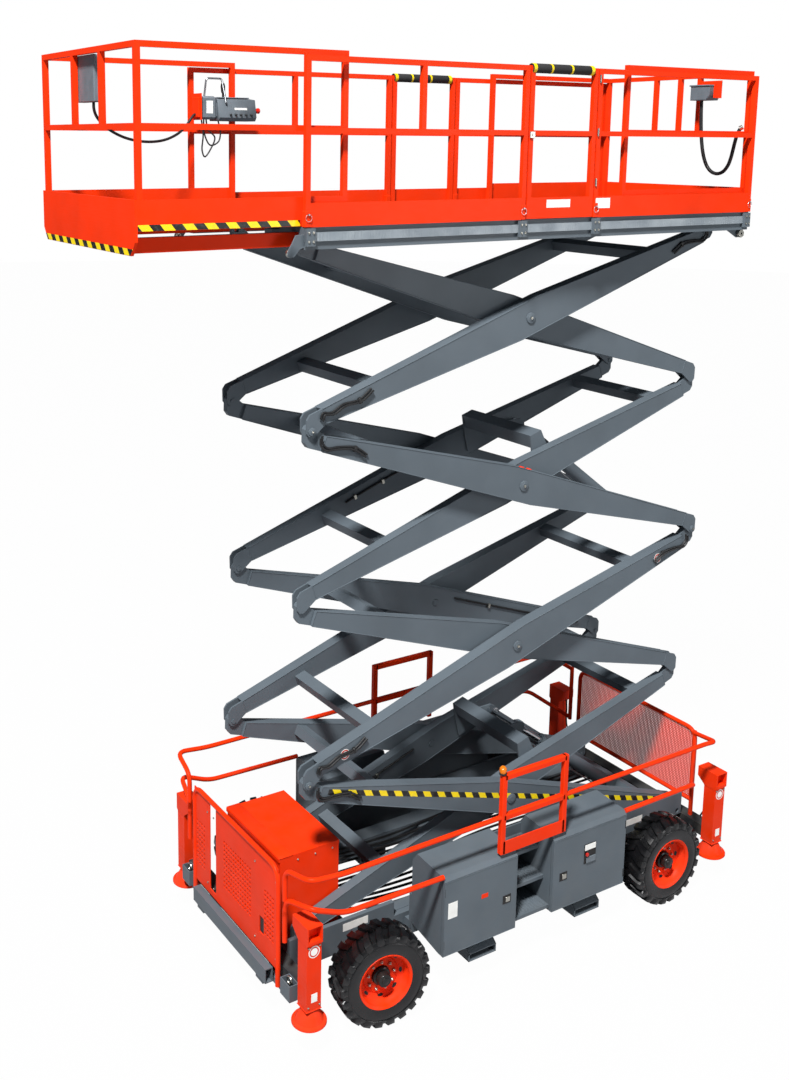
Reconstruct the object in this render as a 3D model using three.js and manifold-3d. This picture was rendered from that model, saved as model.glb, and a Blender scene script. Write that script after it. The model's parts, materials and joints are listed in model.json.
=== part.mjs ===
// A four-stage rough-terrain scissor lift, raised a third of the way.
// Millimetres, +Z up, +X towards the front extension deck, +Y to the machine's left.
// Everything is laid out from a point on the floor, a little ahead of midway between the axles,
// and the whole group is then moved along X, so that its origin is at the middle of its footprint.

import * as THREE from 'three';
import { mergeVertices } from 'three/addons/utils/BufferGeometryUtils.js';
import Module from 'manifold-3d';

const wasm = await Module();
wasm.setup();

// ---------------------------------------------------------------- driving dimensions

const gap = 0.3; // between pieces that touch
const clear = 5; // between pieces that move past each other
const weld = 3; // how far a welded piece runs into the next one

// scissor stack
const stages = 4;
const armPitch = 4260; // from end pin to end pin
const restAngle = THREE.MathUtils.degToRad(18.75);
const rearPivotX = -2115;
const basePivotZ = 518;
const outerArmFace = 652; // outer face of an outer arm, from the middle plane
const outerArmWidth = 100;
const innerArmFace = 537;
const innerArmWidth = 80;
const armHalfDepth = 136; // at the middle of the arm
const armEndDepth = 122; // where the plates of the end joint start
const jointPlateReach = 130; // from the end pin to the arm's own end
const lugRadius = 42;
const outerCheek = 18;
const innerCheek = 14;
const endPinRadius = 20;
const centrePinRadius = 30;
const pinClearance = 1.5;
const pinHeadThickness = 8;
const crossTubeWidth = 100;
const crossTubeBottom = -22; // below the line of the pins, at an arm's lower end
const crossTubeTop = 60;
const outerTubeReach = 700; // from the end pin to the cross tube
const innerTubeReach = 900;
const baseTubeReach = 280; // the cross tube that a lift cylinder stands on
const hornSideTubeReach = 450; // the upper cross tube of an arm pair that a cylinder lifts

// lift cylinders
const barrelRadius = 60;
const rodRadius = 32;
const boreClearance = 2;
const eyeRadius = 45;
const eyeWidth = 60;
const basePinU = 420; // along the outer arm from its lower pin
const basePinV = 20;
const hornPinFromCentre = 550; // along the inner arm from the centre pin
const hornPinV = 160;
const barrelFoot = 60; // the barrel starts here, past the base lugs
const barrelLength = 1085; // from the base pin to the mouth
const rodLength = 1095; // from the rod's inner end to its eye
const boreBottom = 80; // from the base pin
const cylinderSpacing = 160; // of the lower pair, from the middle plane
const lugPlate = 16;

// chassis
const frontAxleX = 1462;
const rearAxleX = -1553;
const railInner = 440;
const trackOuter = 545;
const railOuter = 598;
const railBottom = 330;
const trackTop = basePivotZ - lugRadius - 2;
const railFrontX = 2045;
const railRearX = -2165;
const sidePlateFace = 700;
const sidePlateTop = 690;
const crossMembers = [[-2150, -2060], [-1603, -1503], [-60, 60], [1412, 1512], [1955, 2040]];
const crossMemberTop = 445;
const outriggerBearerX = [1060, railFrontX]; // the upright along the rail's front end
const bracketX = [-1250, -900, -100, 880]; // of the side plates' brackets
const bracketWidth = 70;
const bumperPlateY = [450, 560];
const forkPocketX = [-760, 380];
const forkPocketLength = 280;
const forkPocketY = [480, 1010];
const forkPocketBottom = 205;
const forkPocketWall = 14;
const tieX = [2152, 2234];
const tieY = [775, 912];
const tieZ = [346, 478];

// wheels
const tyreRadius = 388;
const tyreWidth = 268;
const tyreOuterFace = 1150;
const tyreShoulder = 50; // how far its tread's corners are taken off
const rimRadius = 210;
const rimWall = 9;
const hubRadius = 72;
const kingpinY = 790;
const knuckleRadius = 40;
const spindleRadius = 34;
const axleEnd = { steered: 735, fixed: 838 };
const yokeInner = 700;
const yokeOuter = 822;
const yokeTop = 545;
const differentialRadius = 150;
const parkedSteer = THREE.MathUtils.degToRad(-8); // the front wheels stand turned to the right

// outriggers
const frontOutriggerX = 2128;
const rearOutriggerX = -2213;
const outriggerY = 1021;
const sleeveSize = 126;
const sleeveWall = 8;
const sleeveBottom = 362;
const sleeveTop = 900;
const headTop = 1050;
const headInner = 882;
const headOuter = 1098;
const legClearance = 5;
const legBottom = 345;
const padRadius = 134;
const padBottom = 233;
const padThickness = 22;
const outriggerBeamBottom = 366;
const outriggerBeamTop = 470;
const frontBeamX = [2048, 2148];
const rearBeamX = [-2300, -2180];

// cabinets
const cabinetFace = 1120;
const cabinetBottom = 385;
const cabinetTop = 1060;
const cabinetWall = 25;
const frontCabinetX = [224, 962];
const rearCabinetX = [-988, -167];
const doorThickness = 28; // each door covers the whole face of its cabinet
const roofEdge = 40; // under this much of the roof's edge
const cabinetFloor = 470;
const cabinetCeiling = 970;

// guards and rails round the chassis
const guardX = 2211;
const rearGuardX = -2236;
const guardTubeRadius = 20;
const guardHalfWidth = 720;
const guardTop = 1338;
const guardPlate = 8; // thickness of both guards' plates
const guardGapY = [-418, -310];
const guardSlotY = [420, 490];
const guardSlotZ = [640, 780];
const rearGuardHalfWidth = 750;
const rearGuardTop = 1320;
const bumperX = [2206, 2274];
const bumperZ = [327, 448];
const bumperHalfLength = 615;
const bumperWall = 8;
const loopY = 800; // where the side rails' ends stand, beside the guards
const rearLoopX = -2165;
const upperRailZ = 1400;
const lowerRailZ = 1065;
const sideRailY = 1100;
const gateFrameX = { left: [-262, 387], right: [-552, 103] };
const gateFrameTop = 1768;
const gateFrameTube = 46;
const kickPlateHeight = 112;

// platform
const platformFrontX = 2130;
const platformRearX = -2300;
const platformHalfWidth = 889;
const floorUnderside = 72; // above the top pins
const floorTop = 106;
const railTube = 38; // square
const topRailZ = 1213; // above the top pins
const midRailZ = 745;
const toeTop = 268;
const toeThickness = 8;
const gateX = [-485, 210];
const gateGap = 14; // its posts turn on their own middle line

// extension decks
const extensionFrontX = 3338;
const extensionRearX = 1761;
const extensionHalfWidth = 830;
const extensionTravel = 1120;
const runnerRearX = platformFrontX - extensionTravel; // still held when the deck is right out
const extensionTopZ = 1255;
const extensionToeTop = 308;
const panelThickness = 20;
const panelBottom = -45;
const deckPlate = 28;
const rearDeckFrontX = -840;

// ---------------------------------------------------------------- worked out from them

const armSpan = armPitch * Math.cos(restAngle);
const stageRise = armPitch * Math.sin(restAngle);
const frontPivotX = rearPivotX + armSpan;
const pivotZ = (stage) => basePivotZ + stage * stageRise;
const topZ = pivotZ(stages);
const frontmost = extensionFrontX;
const rearmost = rearOutriggerX - padRadius;
const originX = (frontmost + rearmost) / 2;

const SIDES = [['left', 1], ['right', -1]];

// ---------------------------------------------------------------- finishes

const finish = (color, roughness, metalness) => () =>
  new THREE.MeshStandardMaterial({ color, roughness, metalness });
const orangePaint = finish('#f03c14', 0.35, 0.1);
const greyPaint = finish('#6a7074', 0.45, 0.1);
const darkPaint = finish('#2c3034', 0.5, 0.1);
const rubber = finish('#1d1d1f', 0.9, 0);
const chrome = finish('#c8ccd0', 0.15, 1);
const plasticGrey = finish('#7d8488', 0.5, 0);
const cableBlack = finish('#111213', 0.6, 0);

// ---------------------------------------------------------------- solids

function solid(geometry) {
  geometry.deleteAttribute('normal');
  geometry.deleteAttribute('uv');
  const merged = mergeVertices(geometry, 1e-4);
  const vertProperties = new Float32Array(merged.attributes.position.array);
  const triVerts = new Uint32Array(merged.index.array);
  const body = new wasm.Manifold(new wasm.Mesh({ numProp: 3, vertProperties, triVerts }));
  if (body.volume() > 0) {
    return body;
  }
  for (let i = 0; i < triVerts.length; i += 3) {
    [triVerts[i], triVerts[i + 1]] = [triVerts[i + 1], triVerts[i]];
  }
  return new wasm.Manifold(new wasm.Mesh({ numProp: 3, vertProperties, triVerts }));
}

function box(x0, x1, y0, y1, z0, z1) {
  const geometry = new THREE.BoxGeometry(Math.abs(x1 - x0), Math.abs(y1 - y0), Math.abs(z1 - z0));
  return solid(geometry.translate((x0 + x1) / 2, (y0 + y1) / 2, (z0 + z1) / 2));
}

// an outline in X and Z, carried along Y
function slab(outline, y0, y1) {
  const shape = new THREE.Shape(outline.map(([x, z]) => new THREE.Vector2(x, z)));
  const low = Math.min(y0, y1);
  const geometry = new THREE.ExtrudeGeometry(shape, { depth: Math.abs(y1 - y0), bevelEnabled: false });
  return solid(geometry.rotateX(Math.PI / 2).translate(0, low + Math.abs(y1 - y0), 0));
}

// an outline in Y and Z, carried along X
function panel(outline, x0, x1) {
  const shape = new THREE.Shape(outline.map(([y, z]) => new THREE.Vector2(y, z)));
  const geometry = new THREE.ExtrudeGeometry(shape, { depth: x1 - x0, bevelEnabled: false });
  geometry.applyMatrix4(new THREE.Matrix4().set(0, 0, 1, x0, 1, 0, 0, 0, 0, 1, 0, 0, 0, 0, 0, 1));
  return solid(geometry);
}

// a round bar along Y; its flats stand on the circle of the given radius when outside is true
function barY(x, z, radius, y0, y1, sides = 8, outside = false) {
  const corner = outside ? radius / Math.cos(Math.PI / sides) : radius;
  const geometry = new THREE.CylinderGeometry(corner, corner, Math.abs(y1 - y0), sides);
  return solid(geometry.rotateY(Math.PI / sides).translate(x, (y0 + y1) / 2, z));
}

function barZ(x, y, radius, z0, z1, sides = 12) {
  const geometry = new THREE.CylinderGeometry(radius, radius, z1 - z0, sides);
  return solid(geometry.rotateX(Math.PI / 2).translate(x, y, (z0 + z1) / 2));
}

// a path through given points, which an extrusion follows corner by corner
class CornerPath extends THREE.Curve {
  constructor(points) {
    super();
    this.points = points;
  }

  getPoint(t) {
    const at = t * (this.points.length - 1);
    const i = Math.min(Math.floor(at), this.points.length - 2);
    return this.points[i].clone().lerp(this.points[i + 1], at - i);
  }

  getPointAt(u) {
    return this.getPoint(u);
  }

  getTangentAt(u) {
    const i = Math.round(u * (this.points.length - 1));
    const before = this.points[Math.max(i - 1, 0)];
    const here = this.points[i];
    const after = this.points[Math.min(i + 1, this.points.length - 1)];
    const into = here.clone().sub(before).normalize();
    const out = after.clone().sub(here).normalize();
    return into.add(out).normalize();
  }
}

// the corners of a route, each turned into an arc
function rounded(route, bend, steps = 2) {
  const points = route.map((p) => new THREE.Vector3(...p));
  const path = [points[0]];
  for (let i = 1; i < points.length - 1; i += 1) {
    const back = points[i - 1].clone().sub(points[i]);
    const on = points[i + 1].clone().sub(points[i]);
    const reach = Math.min(bend, back.length() * 0.45, on.length() * 0.45);
    const start = points[i].clone().addScaledVector(back.normalize(), reach);
    const end = points[i].clone().addScaledVector(on.normalize(), reach);
    const arc = new THREE.QuadraticBezierCurve3(start, points[i], end);
    path.push(...arc.getPoints(steps));
  }
  path.push(points[points.length - 1]);
  return path;
}

function tube(path, radius, sides = 6) {
  const section = new THREE.Shape();
  for (let i = 0; i < sides; i += 1) {
    const angle = ((i + 0.5) / sides) * 2 * Math.PI;
    const corner = radius / Math.cos(Math.PI / sides);
    section[i ? 'lineTo' : 'moveTo'](corner * Math.cos(angle), corner * Math.sin(angle));
  }
  const settings = { steps: path.length - 1, bevelEnabled: false, extrudePath: new CornerPath(path) };
  return solid(new THREE.ExtrudeGeometry(section, settings));
}

const straight = (a, b, radius, sides) =>
  tube([new THREE.Vector3(...a), new THREE.Vector3(...b)], radius, sides);
const join = (solids) => solids.reduce((all, one) => all.add(one));
const cut = (body, holes) => holes.reduce((rest, hole) => rest.subtract(hole), body);
const arc = (x, z, radius, from, to, steps) => Array.from({ length: steps + 1 }, (_, i) => {
  const angle = THREE.MathUtils.degToRad(from + ((to - from) * i) / steps);
  return [x + radius * Math.cos(angle), z + radius * Math.sin(angle)];
});

// ---------------------------------------------------------------- the group

const lift = new THREE.Group();
lift.position.x = -originX;

function place(name, body, paint, parent = lift) {
  const mesh = body.getMesh();
  const geometry = new THREE.BufferGeometry();
  geometry.setAttribute('position', new THREE.BufferAttribute(new Float32Array(mesh.vertProperties), 3));
  geometry.setIndex(new THREE.BufferAttribute(new Uint32Array(mesh.triVerts), 1));
  geometry.computeVertexNormals();
  const piece = new THREE.Mesh(geometry, paint());
  piece.name = name;
  parent.add(piece);
  return piece;
}

// ---------------------------------------------------------------- scissor arms
// An arm pair is drawn level, with its lower end pin at the origin and the other on +X,
// and is then turned to its angle. Its lower end has cheeks with the pin, its upper end a tongue.

function armPair({ face, width, cheek, tubes }) {
  const bodyOutline = [
    [jointPlateReach, 5],
    [armPitch / 2 - 130, -armHalfDepth],
    [armPitch - jointPlateReach, -armEndDepth],
    [armPitch - jointPlateReach, -5],
    [armPitch / 2 + 130, armHalfDepth],
    [jointPlateReach, armEndDepth],
  ];
  const cheekOutline = [
    ...arc(0, 0, lugRadius, 180, 300, 3),
    [jointPlateReach + weld, 5],
    [jointPlateReach + weld, armEndDepth],
    [25, armEndDepth],
    [-12, 95],
  ];
  const tongueOutline = [
    [armPitch - jointPlateReach - weld, -5],
    [armPitch - jointPlateReach - weld, -armEndDepth],
    [armPitch - 25, -armEndDepth],
    [armPitch + 12, -95],
    ...arc(armPitch, 0, lugRadius, 0, 120, 3),
  ];
  const inside = face - width;
  const pieces = [];
  for (const side of [1, -1]) {
    pieces.push(slab(bodyOutline, side * face, side * inside));
    pieces.push(slab(cheekOutline, side * face, side * (face - cheek)));
    pieces.push(slab(cheekOutline, side * inside, side * (inside + cheek)));
    pieces.push(slab(tongueOutline, side * (face - cheek - clear), side * (inside + cheek + clear)));
    pieces.push(barY(0, 0, endPinRadius, side * (inside - pinHeadThickness), side * face));
  }
  for (const [u, low, high] of tubes) {
    const half = crossTubeWidth / 2;
    pieces.push(box(u - half, u + half, -inside - weld, inside + weld, low, high));
  }
  const bore = barY(armPitch, 0, endPinRadius + pinClearance, -face - 1, face + 1, 8, true);
  return join(pieces).subtract(bore);
}

const lowTube = (reach) => [reach, crossTubeBottom, crossTubeTop];
const highTube = (reach) => [armPitch - reach, -crossTubeTop, -crossTubeBottom];

// Stages one and three carry the lift cylinders: their outer pair holds the barrels' base pins
// and their inner pair holds the horns for the rods.
const cylinderRows = { 1: [-cylinderSpacing, cylinderSpacing], 3: [0] };

function outerPair(stage) {
  const rows = cylinderRows[stage];
  const tubes = [lowTube(rows ? baseTubeReach : outerTubeReach), highTube(outerTubeReach)];
  let pair = armPair({ face: outerArmFace, width: outerArmWidth, cheek: outerCheek, tubes });
  for (const side of [1, -1]) {
    const head = side * (outerArmFace + pinHeadThickness);
    const inner = side * (innerArmFace - innerArmWidth - clear);
    pair = pair.add(barY(armPitch / 2, 0, centrePinRadius, inner, head));
    pair = pair.add(barY(armPitch / 2, 0, centrePinRadius + 15, side * (outerArmFace - weld), head));
    pair = pair.add(barY(0, 0, endPinRadius + 12, side * (outerArmFace - weld), head));
  }
  for (const row of rows ?? []) {
    const lug = [
      [baseTubeReach, crossTubeBottom],
      [baseTubeReach, crossTubeTop],
      ...arc(basePinU, basePinV, eyeRadius, 70, -70, 3),
    ];
    for (const side of [1, -1]) {
      const near = row + side * (eyeWidth / 2 + clear);
      pair = pair.add(slab(lug, near, near + side * lugPlate));
    }
    const reach = eyeWidth / 2 + clear + lugPlate;
    pair = pair.add(barY(basePinU, basePinV, 18, row - reach, row + reach));
  }
  return pair;
}

function innerPair(stage) {
  const rows = cylinderRows[stage];
  const tubes = [lowTube(innerTubeReach), highTube(rows ? hornSideTubeReach : innerTubeReach)];
  let pair = armPair({ face: innerArmFace, width: innerArmWidth, cheek: innerCheek, tubes });
  const centre = armPitch / 2;
  const hole = centrePinRadius + pinClearance;
  for (const side of [1, -1]) {
    const [near, far] = [side * (innerArmFace - innerArmWidth - 1), side * (innerArmFace + 1)];
    pair = pair.subtract(barY(centre, 0, hole, near, far, 8, true));
  }
  if (!rows) {
    return pair;
  }
  const beam = [centre + 330, centre + 450];
  const beamZ = [130, 250];
  const inside = innerArmFace - innerArmWidth;
  pair = pair.add(box(beam[0], beam[1], -inside + clear, inside - clear, beamZ[0], beamZ[1]));
  for (const side of [1, -1]) {
    const gusset = [
      [centre + 290, -90],
      [centre + 500, -90],
      [centre + 480, 60],
      [beam[1], beamZ[1]],
      [beam[0], beamZ[1]],
      [centre + 300, 60],
    ];
    pair = pair.add(slab(gusset, side * (inside - clear), side * (inside - clear - lugPlate)));
    const spacer = [side * (inside - clear - weld), side * (inside + weld)];
    pair = pair.add(box(centre + 310, centre + 470, ...spacer, -80, 80));
  }
  for (const row of rows) {
    const horn = [
      [beam[0] + 10, beamZ[0] + 10],
      [centre + 470, 90],
      ...arc(centre + hornPinFromCentre, hornPinV, 55, -90, 70, 3),
      [beam[1], beamZ[1]],
      [beam[0] + 10, beamZ[1]],
    ];
    for (const side of row ? [Math.sign(row)] : [1, -1]) {
      const near = row + side * (eyeWidth / 2 + clear);
      pair = pair.add(slab(horn, near, near + side * lugPlate));
    }
  }
  return pair;
}

// an arm pair rises towards the front when its lower pin is at the rear
function setArm(piece, stage, lowAtRear) {
  piece.position.set(lowAtRear ? rearPivotX : frontPivotX, 0, pivotZ(stage - 1));
  piece.rotation.set(0, lowAtRear ? -restAngle : restAngle, lowAtRear ? 0 : Math.PI);
}

for (let stage = 1; stage <= stages; stage += 1) {
  const odd = stage % 2 === 1;
  setArm(place(`outer_arms_${stage}`, outerPair(stage), greyPaint), stage, odd);
  setArm(place(`inner_arms_${stage}`, innerPair(stage), greyPaint), stage, !odd);
}

// ---------------------------------------------------------------- lift cylinders
// Drawn along +X from the base pin, then turned to point at the horn's pin.

function cylinderLine(stage) {
  const cos = Math.cos(restAngle);
  const sin = Math.sin(restAngle);
  const lowZ = pivotZ(stage - 1);
  const base = new THREE.Vector2(
    rearPivotX + basePinU * cos - basePinV * sin,
    lowZ + basePinU * sin + basePinV * cos,
  );
  const along = armPitch / 2 + hornPinFromCentre;
  const horn = new THREE.Vector2(
    frontPivotX - along * cos + hornPinV * sin,
    lowZ + along * sin + hornPinV * cos,
  );
  return { base, reach: horn.distanceTo(base), angle: Math.atan2(horn.y - base.y, horn.x - base.x) };
}

function barTo(x0, x1, row, radius, sides = 12) {
  return straight([x0, row, 0], [x1, row, 0], radius, sides);
}

function barrel(row) {
  const eye = barY(0, 0, eyeRadius, row - eyeWidth / 2, row + eyeWidth / 2);
  const neck = box(20, barrelFoot + weld, row - eyeWidth / 2, row + eyeWidth / 2, -35, 35);
  const wall = barTo(barrelFoot, barrelLength, row, barrelRadius * Math.cos(Math.PI / 12));
  const bore = barTo(boreBottom, barrelLength + 1, row, rodRadius + boreClearance, 10);
  const pinHole = barY(0, 0, 18 + pinClearance, row - eyeWidth, row + eyeWidth, 8, true);
  return cut(join([eye, neck, wall]), [bore, pinHole]);
}

function rod(row, reach) {
  const eye = barY(reach, 0, eyeRadius, row - eyeWidth / 2, row + eyeWidth / 2);
  const shaft = barTo(reach - rodLength, reach, row, rodRadius * Math.cos(Math.PI / 10), 10);
  return eye.add(shaft);
}

for (const [stage, name] of [[1, 'lower'], [3, 'upper']]) {
  const { base, reach, angle } = cylinderLine(stage);
  const rows = cylinderRows[stage];
  let barrels = join(rows.map(barrel));
  let rods = join(rows.map((row) => rod(row, reach)));
  if (rows.length > 1) {
    const span = cylinderSpacing - eyeWidth / 2 + weld;
    const tie = cylinderSpacing - barrelRadius + 10;
    barrels = barrels.add(box(barrelLength - 90, barrelLength - 40, -tie, tie, -20, 20));
    rods = rods.add(barY(reach, 0, 18, -span, span)); // one shaft through both eyes
  }
  for (const [kind, body, paint] of [['barrel', barrels, greyPaint], ['rod', rods, chrome]]) {
    const piece = place(`${name}_lift_${kind}`, body, paint);
    piece.position.set(base.x, 0, base.y);
    piece.rotation.y = -angle;
  }
}

// ---------------------------------------------------------------- chassis

function chassisFrame() {
  const pieces = [];
  for (const [, side] of SIDES) {
    pieces.push(box(railRearX, railFrontX, side * railInner, side * trackOuter, railBottom, trackTop));
    pieces.push(box(railRearX, railFrontX, side * (trackOuter - weld), side * railOuter, railBottom, 470));
    pieces.push(box(...outriggerBearerX, side * (railOuter - 38), side * railOuter, 467, 596));
    // the rear pivot's tongue stands on the rail
    const tongue = [
      [rearPivotX - 60, trackTop - weld],
      [rearPivotX + 60, trackTop - weld],
      ...arc(rearPivotX, basePivotZ, lugRadius, 0, 180, 4),
    ];
    const edge = outerArmFace - outerCheek - clear;
    const inner = outerArmFace - outerArmWidth + outerCheek + clear;
    const footX = [rearPivotX - 50, rearPivotX + 60];
    pieces.push(slab(tongue, side * edge, side * inner));
    pieces.push(box(...footX, side * inner, side * edge, 440, trackTop));
    pieces.push(box(...footX, side * (railOuter - weld), side * edge, 400, trackTop));
    // side plates that the cabinets hang on, and the shelf over the rear wheels
    const plateY = [side * (outerArmFace + 18), side * sidePlateFace];
    pieces.push(box(rearCabinetX[0], frontCabinetX[1], ...plateY, 340, sidePlateTop));
    pieces.push(box(railRearX, rearCabinetX[0] + weld, ...plateY, 480, sidePlateTop));
    for (const x of bracketX) {
      const top = x < rearCabinetX[0] ? 500 : 430;
      const bracketY = [side * (railOuter - weld), side * (sidePlateFace - 10)];
      pieces.push(box(x, x + bracketWidth, ...bracketY, 345, top));
    }
    // plates under the front outrigger beam that carry the bumper
    const bumperPlate = [side * bumperPlateY[0], side * bumperPlateY[1]];
    pieces.push(box(railFrontX - 120, bumperX[1] - 10, ...bumperPlate, 290, outriggerBeamBottom - 4));
    // fork pockets under the cabinets
    for (const x of forkPocketX) {
      const [near, far] = forkPocketY;
      const end = x + forkPocketLength;
      const wall = forkPocketWall;
      const pocket = box(x, end, side * near, side * far, forkPocketBottom, railBottom);
      const hollow = [side * (near - 1), side * (far + 1), forkPocketBottom + wall, railBottom - wall];
      pieces.push(pocket.subtract(box(x + wall, end - wall, ...hollow)));
    }
    // tie-down boxes, open at the top, beside the bumper
    const tieBox = box(tieX[0], tieX[1], side * tieY[0], side * tieY[1], tieZ[0], tieZ[1]);
    pieces.push(tieBox.subtract(box(tieX[0] + 8, tieX[1] - 8, side * (tieY[0] + 8), side * (tieY[1] - 8),
      tieZ[0] + 8, tieZ[1] + 1)));
    pieces.push(box(tieX[0] + 4, guardX - 1.2 * guardTubeRadius, side * 557, side * (tieY[0] + 40), 300,
      tieZ[0] + weld));
  }
  for (const span of crossMembers) {
    pieces.push(box(...span, -railInner - weld, railInner + weld, railBottom, crossMemberTop));
  }
  const bumper = box(bumperX[0], bumperX[1], -bumperHalfLength, bumperHalfLength, bumperZ[0], bumperZ[1]);
  pieces.push(bumper.subtract(box(bumperX[0] + bumperWall, bumperX[1] - bumperWall, -bumperHalfLength - 1,
    bumperHalfLength + 1, bumperZ[0] + bumperWall, bumperZ[1] - bumperWall)));
  const pinHole = barY(rearPivotX, basePivotZ, endPinRadius + pinClearance, -700, 700, 8, true);
  return cut(join(pieces), [pinHole]);
}

place('chassis_frame', chassisFrame(), greyPaint);

function axle(x, steered) {
  const top = railBottom - clear;
  const end = steered ? axleEnd.steered : axleEnd.fixed;
  const pieces = [box(x - 60, x + 60, -end, end, steered ? 240 : 250, top)];
  pieces.push(barZ(x, 0, differentialRadius, 200, top));
  for (const [, side] of SIDES) {
    if (steered) {
      const yokeX = [x - 45, x + 45];
      const arms = [side * yokeInner, side * yokeOuter];
      pieces.push(box(...yokeX, side * yokeInner, side * (kingpinY - knuckleRadius - 8), 240, yokeTop));
      pieces.push(box(...yokeX, ...arms, 290, railBottom - 2));
      pieces.push(box(...yokeX, ...arms, yokeTop - 30, yokeTop));
    } else {
      pieces.push(box(x - 75, x + 75, side * 740, side * end, 250, 520));
      pieces.push(barY(x, tyreRadius, spindleRadius, side * 835, side * 960));
    }
  }
  return join(pieces);
}

place('front_axle', axle(frontAxleX, true), darkPaint);
place('rear_axle', axle(rearAxleX, false), darkPaint);

// ---------------------------------------------------------------- wheels

function ring(profile, segments, y) {
  const points = profile.map(([radius, across]) => new THREE.Vector2(radius, across));
  const geometry = new THREE.LatheGeometry([...points, points[0]], segments);
  return solid(geometry.rotateY(Math.PI / segments + Math.PI / 2).translate(0, y, 0));
}

const tyreInner = tyreOuterFace - tyreWidth;
const tyreMid = (tyreInner + tyreOuterFace) / 2;
const wheelSegments = 24;
const flat = 1 / Math.cos(Math.PI / wheelSegments);

function tyreSolid() {
  const half = tyreWidth / 2;
  const bead = rimRadius + gap + 0.5;
  return ring([
    [bead * flat, -half + 22],
    [(rimRadius + tyreShoulder) * flat, -half],
    [(tyreRadius - tyreShoulder) * flat, -half],
    [tyreRadius * flat, -half + tyreShoulder],
    [tyreRadius * flat, half - tyreShoulder],
    [(tyreRadius - tyreShoulder) * flat, half],
    [(rimRadius + tyreShoulder) * flat, half],
    [bead * flat, half - 22],
  ], wheelSegments, 0);
}

// the disc is set in from the outer edge, and the hub fills its middle
function rimSolid(side) {
  const edge = tyreWidth / 2 - 20;
  const disc = 18;
  const profile = [
    [rimRadius, -edge],
    [rimRadius, edge],
    [rimRadius - rimWall, edge],
    [rimRadius - rimWall, side * disc + 7],
    [0, side * disc + 7],
    [0, side * disc - 7],
    [rimRadius - rimWall, side * disc - 7],
    [rimRadius - rimWall, -edge],
  ];
  const points = profile.map(([radius, across]) => new THREE.Vector2(radius, across));
  const barrelShape = new THREE.LatheGeometry([...points, points[0]], 16);
  const hub = barY(0, 0, hubRadius, side * -15, side * 92, 10);
  return solid(barrelShape).add(hub);
}

// Each front wheel is drawn round its kingpin, straight ahead, and stands turned.
for (const [name, side] of SIDES) {
  const rim = rimSolid(side).subtract(barY(0, 0, spindleRadius + clear, side * -140, side * 5, 8, true));
  for (const [kind, body, paint] of [['tyre', tyreSolid(), rubber], ['rim', rim, orangePaint]]) {
    place(`rear_${name}_${kind}`, body, paint).position.set(rearAxleX, side * tyreMid, tyreRadius);
    const onKnuckle = body.translate([0, side * (tyreMid - kingpinY), 0]);
    const front = place(`front_${name}_${kind}`, onKnuckle, paint);
    front.position.set(frontAxleX, side * kingpinY, tyreRadius);
    front.rotation.z = parkedSteer;
  }
  const post = barZ(0, 0, knuckleRadius, railBottom + 3, 510);
  const spindle = barY(0, tyreRadius, spindleRadius, 0, side * (tyreMid - kingpinY - 5));
  const knuckle = place(`${name}_knuckle`, post.add(spindle), darkPaint);
  knuckle.position.set(frontAxleX, side * kingpinY, 0);
  knuckle.rotation.z = parkedSteer;
}

// ---------------------------------------------------------------- outriggers

// two sleeves on a beam, each with an open-ended head that leans out over it
function sleeves(x, beam) {
  const half = sleeveSize / 2;
  const beamEnd = outriggerY - half + weld;
  const pieces = [box(beam[0], beam[1], -beamEnd, beamEnd, outriggerBeamBottom, outriggerBeamTop)];
  const holes = [];
  for (const [, side] of SIDES) {
    const y = side * outriggerY;
    pieces.push(box(x - half, x + half, y - half, y + half, sleeveBottom, sleeveTop));
    pieces.push(panel([
      [side * (outriggerY - half), sleeveTop],
      [side * headInner, headTop - 90],
      [side * headInner, headTop],
      [side * headOuter, headTop],
      [side * headOuter, sleeveTop + 10],
      [side * (outriggerY + half), sleeveTop - weld],
      [side * (outriggerY - half), sleeveTop - weld],
    ], x - half - weld, x + half + weld));
    const inside = half - sleeveWall;
    holes.push(box(x - inside, x + inside, y - inside, y + inside, sleeveBottom - 1, sleeveTop));
    holes.push(box(x - inside, x + inside, side * (outriggerY + 20), side * (headOuter + 1), sleeveTop + 35,
      headTop - sleeveWall));
  }
  return cut(join(pieces), holes);
}

place('front_outrigger_beam', sleeves(frontOutriggerX, frontBeamX), orangePaint);
place('rear_outrigger_beam', sleeves(rearOutriggerX, rearBeamX), orangePaint);

for (const [end, x] of [['front', frontOutriggerX], ['rear', rearOutriggerX]]) {
  for (const [name, side] of SIDES) {
    const half = sleeveSize / 2 - sleeveWall - legClearance;
    const y = side * outriggerY;
    const leg = box(x - half, x + half, y - half, y + half, legBottom, sleeveTop - 20);
    const pad = barZ(x, y, padRadius, padBottom, padBottom + padThickness, 16);
    const neckHeight = legBottom + weld - padBottom - padThickness;
    const neck = new THREE.CylinderGeometry(half + 8, padRadius - 24, neckHeight, 16);
    neck.rotateX(Math.PI / 2).translate(x, y, legBottom + weld - neckHeight / 2);
    place(`${end}_${name}_outrigger_leg`, join([leg, pad, solid(neck)]), orangePaint);
  }
}

// ---------------------------------------------------------------- cabinets, steps and doors

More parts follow.
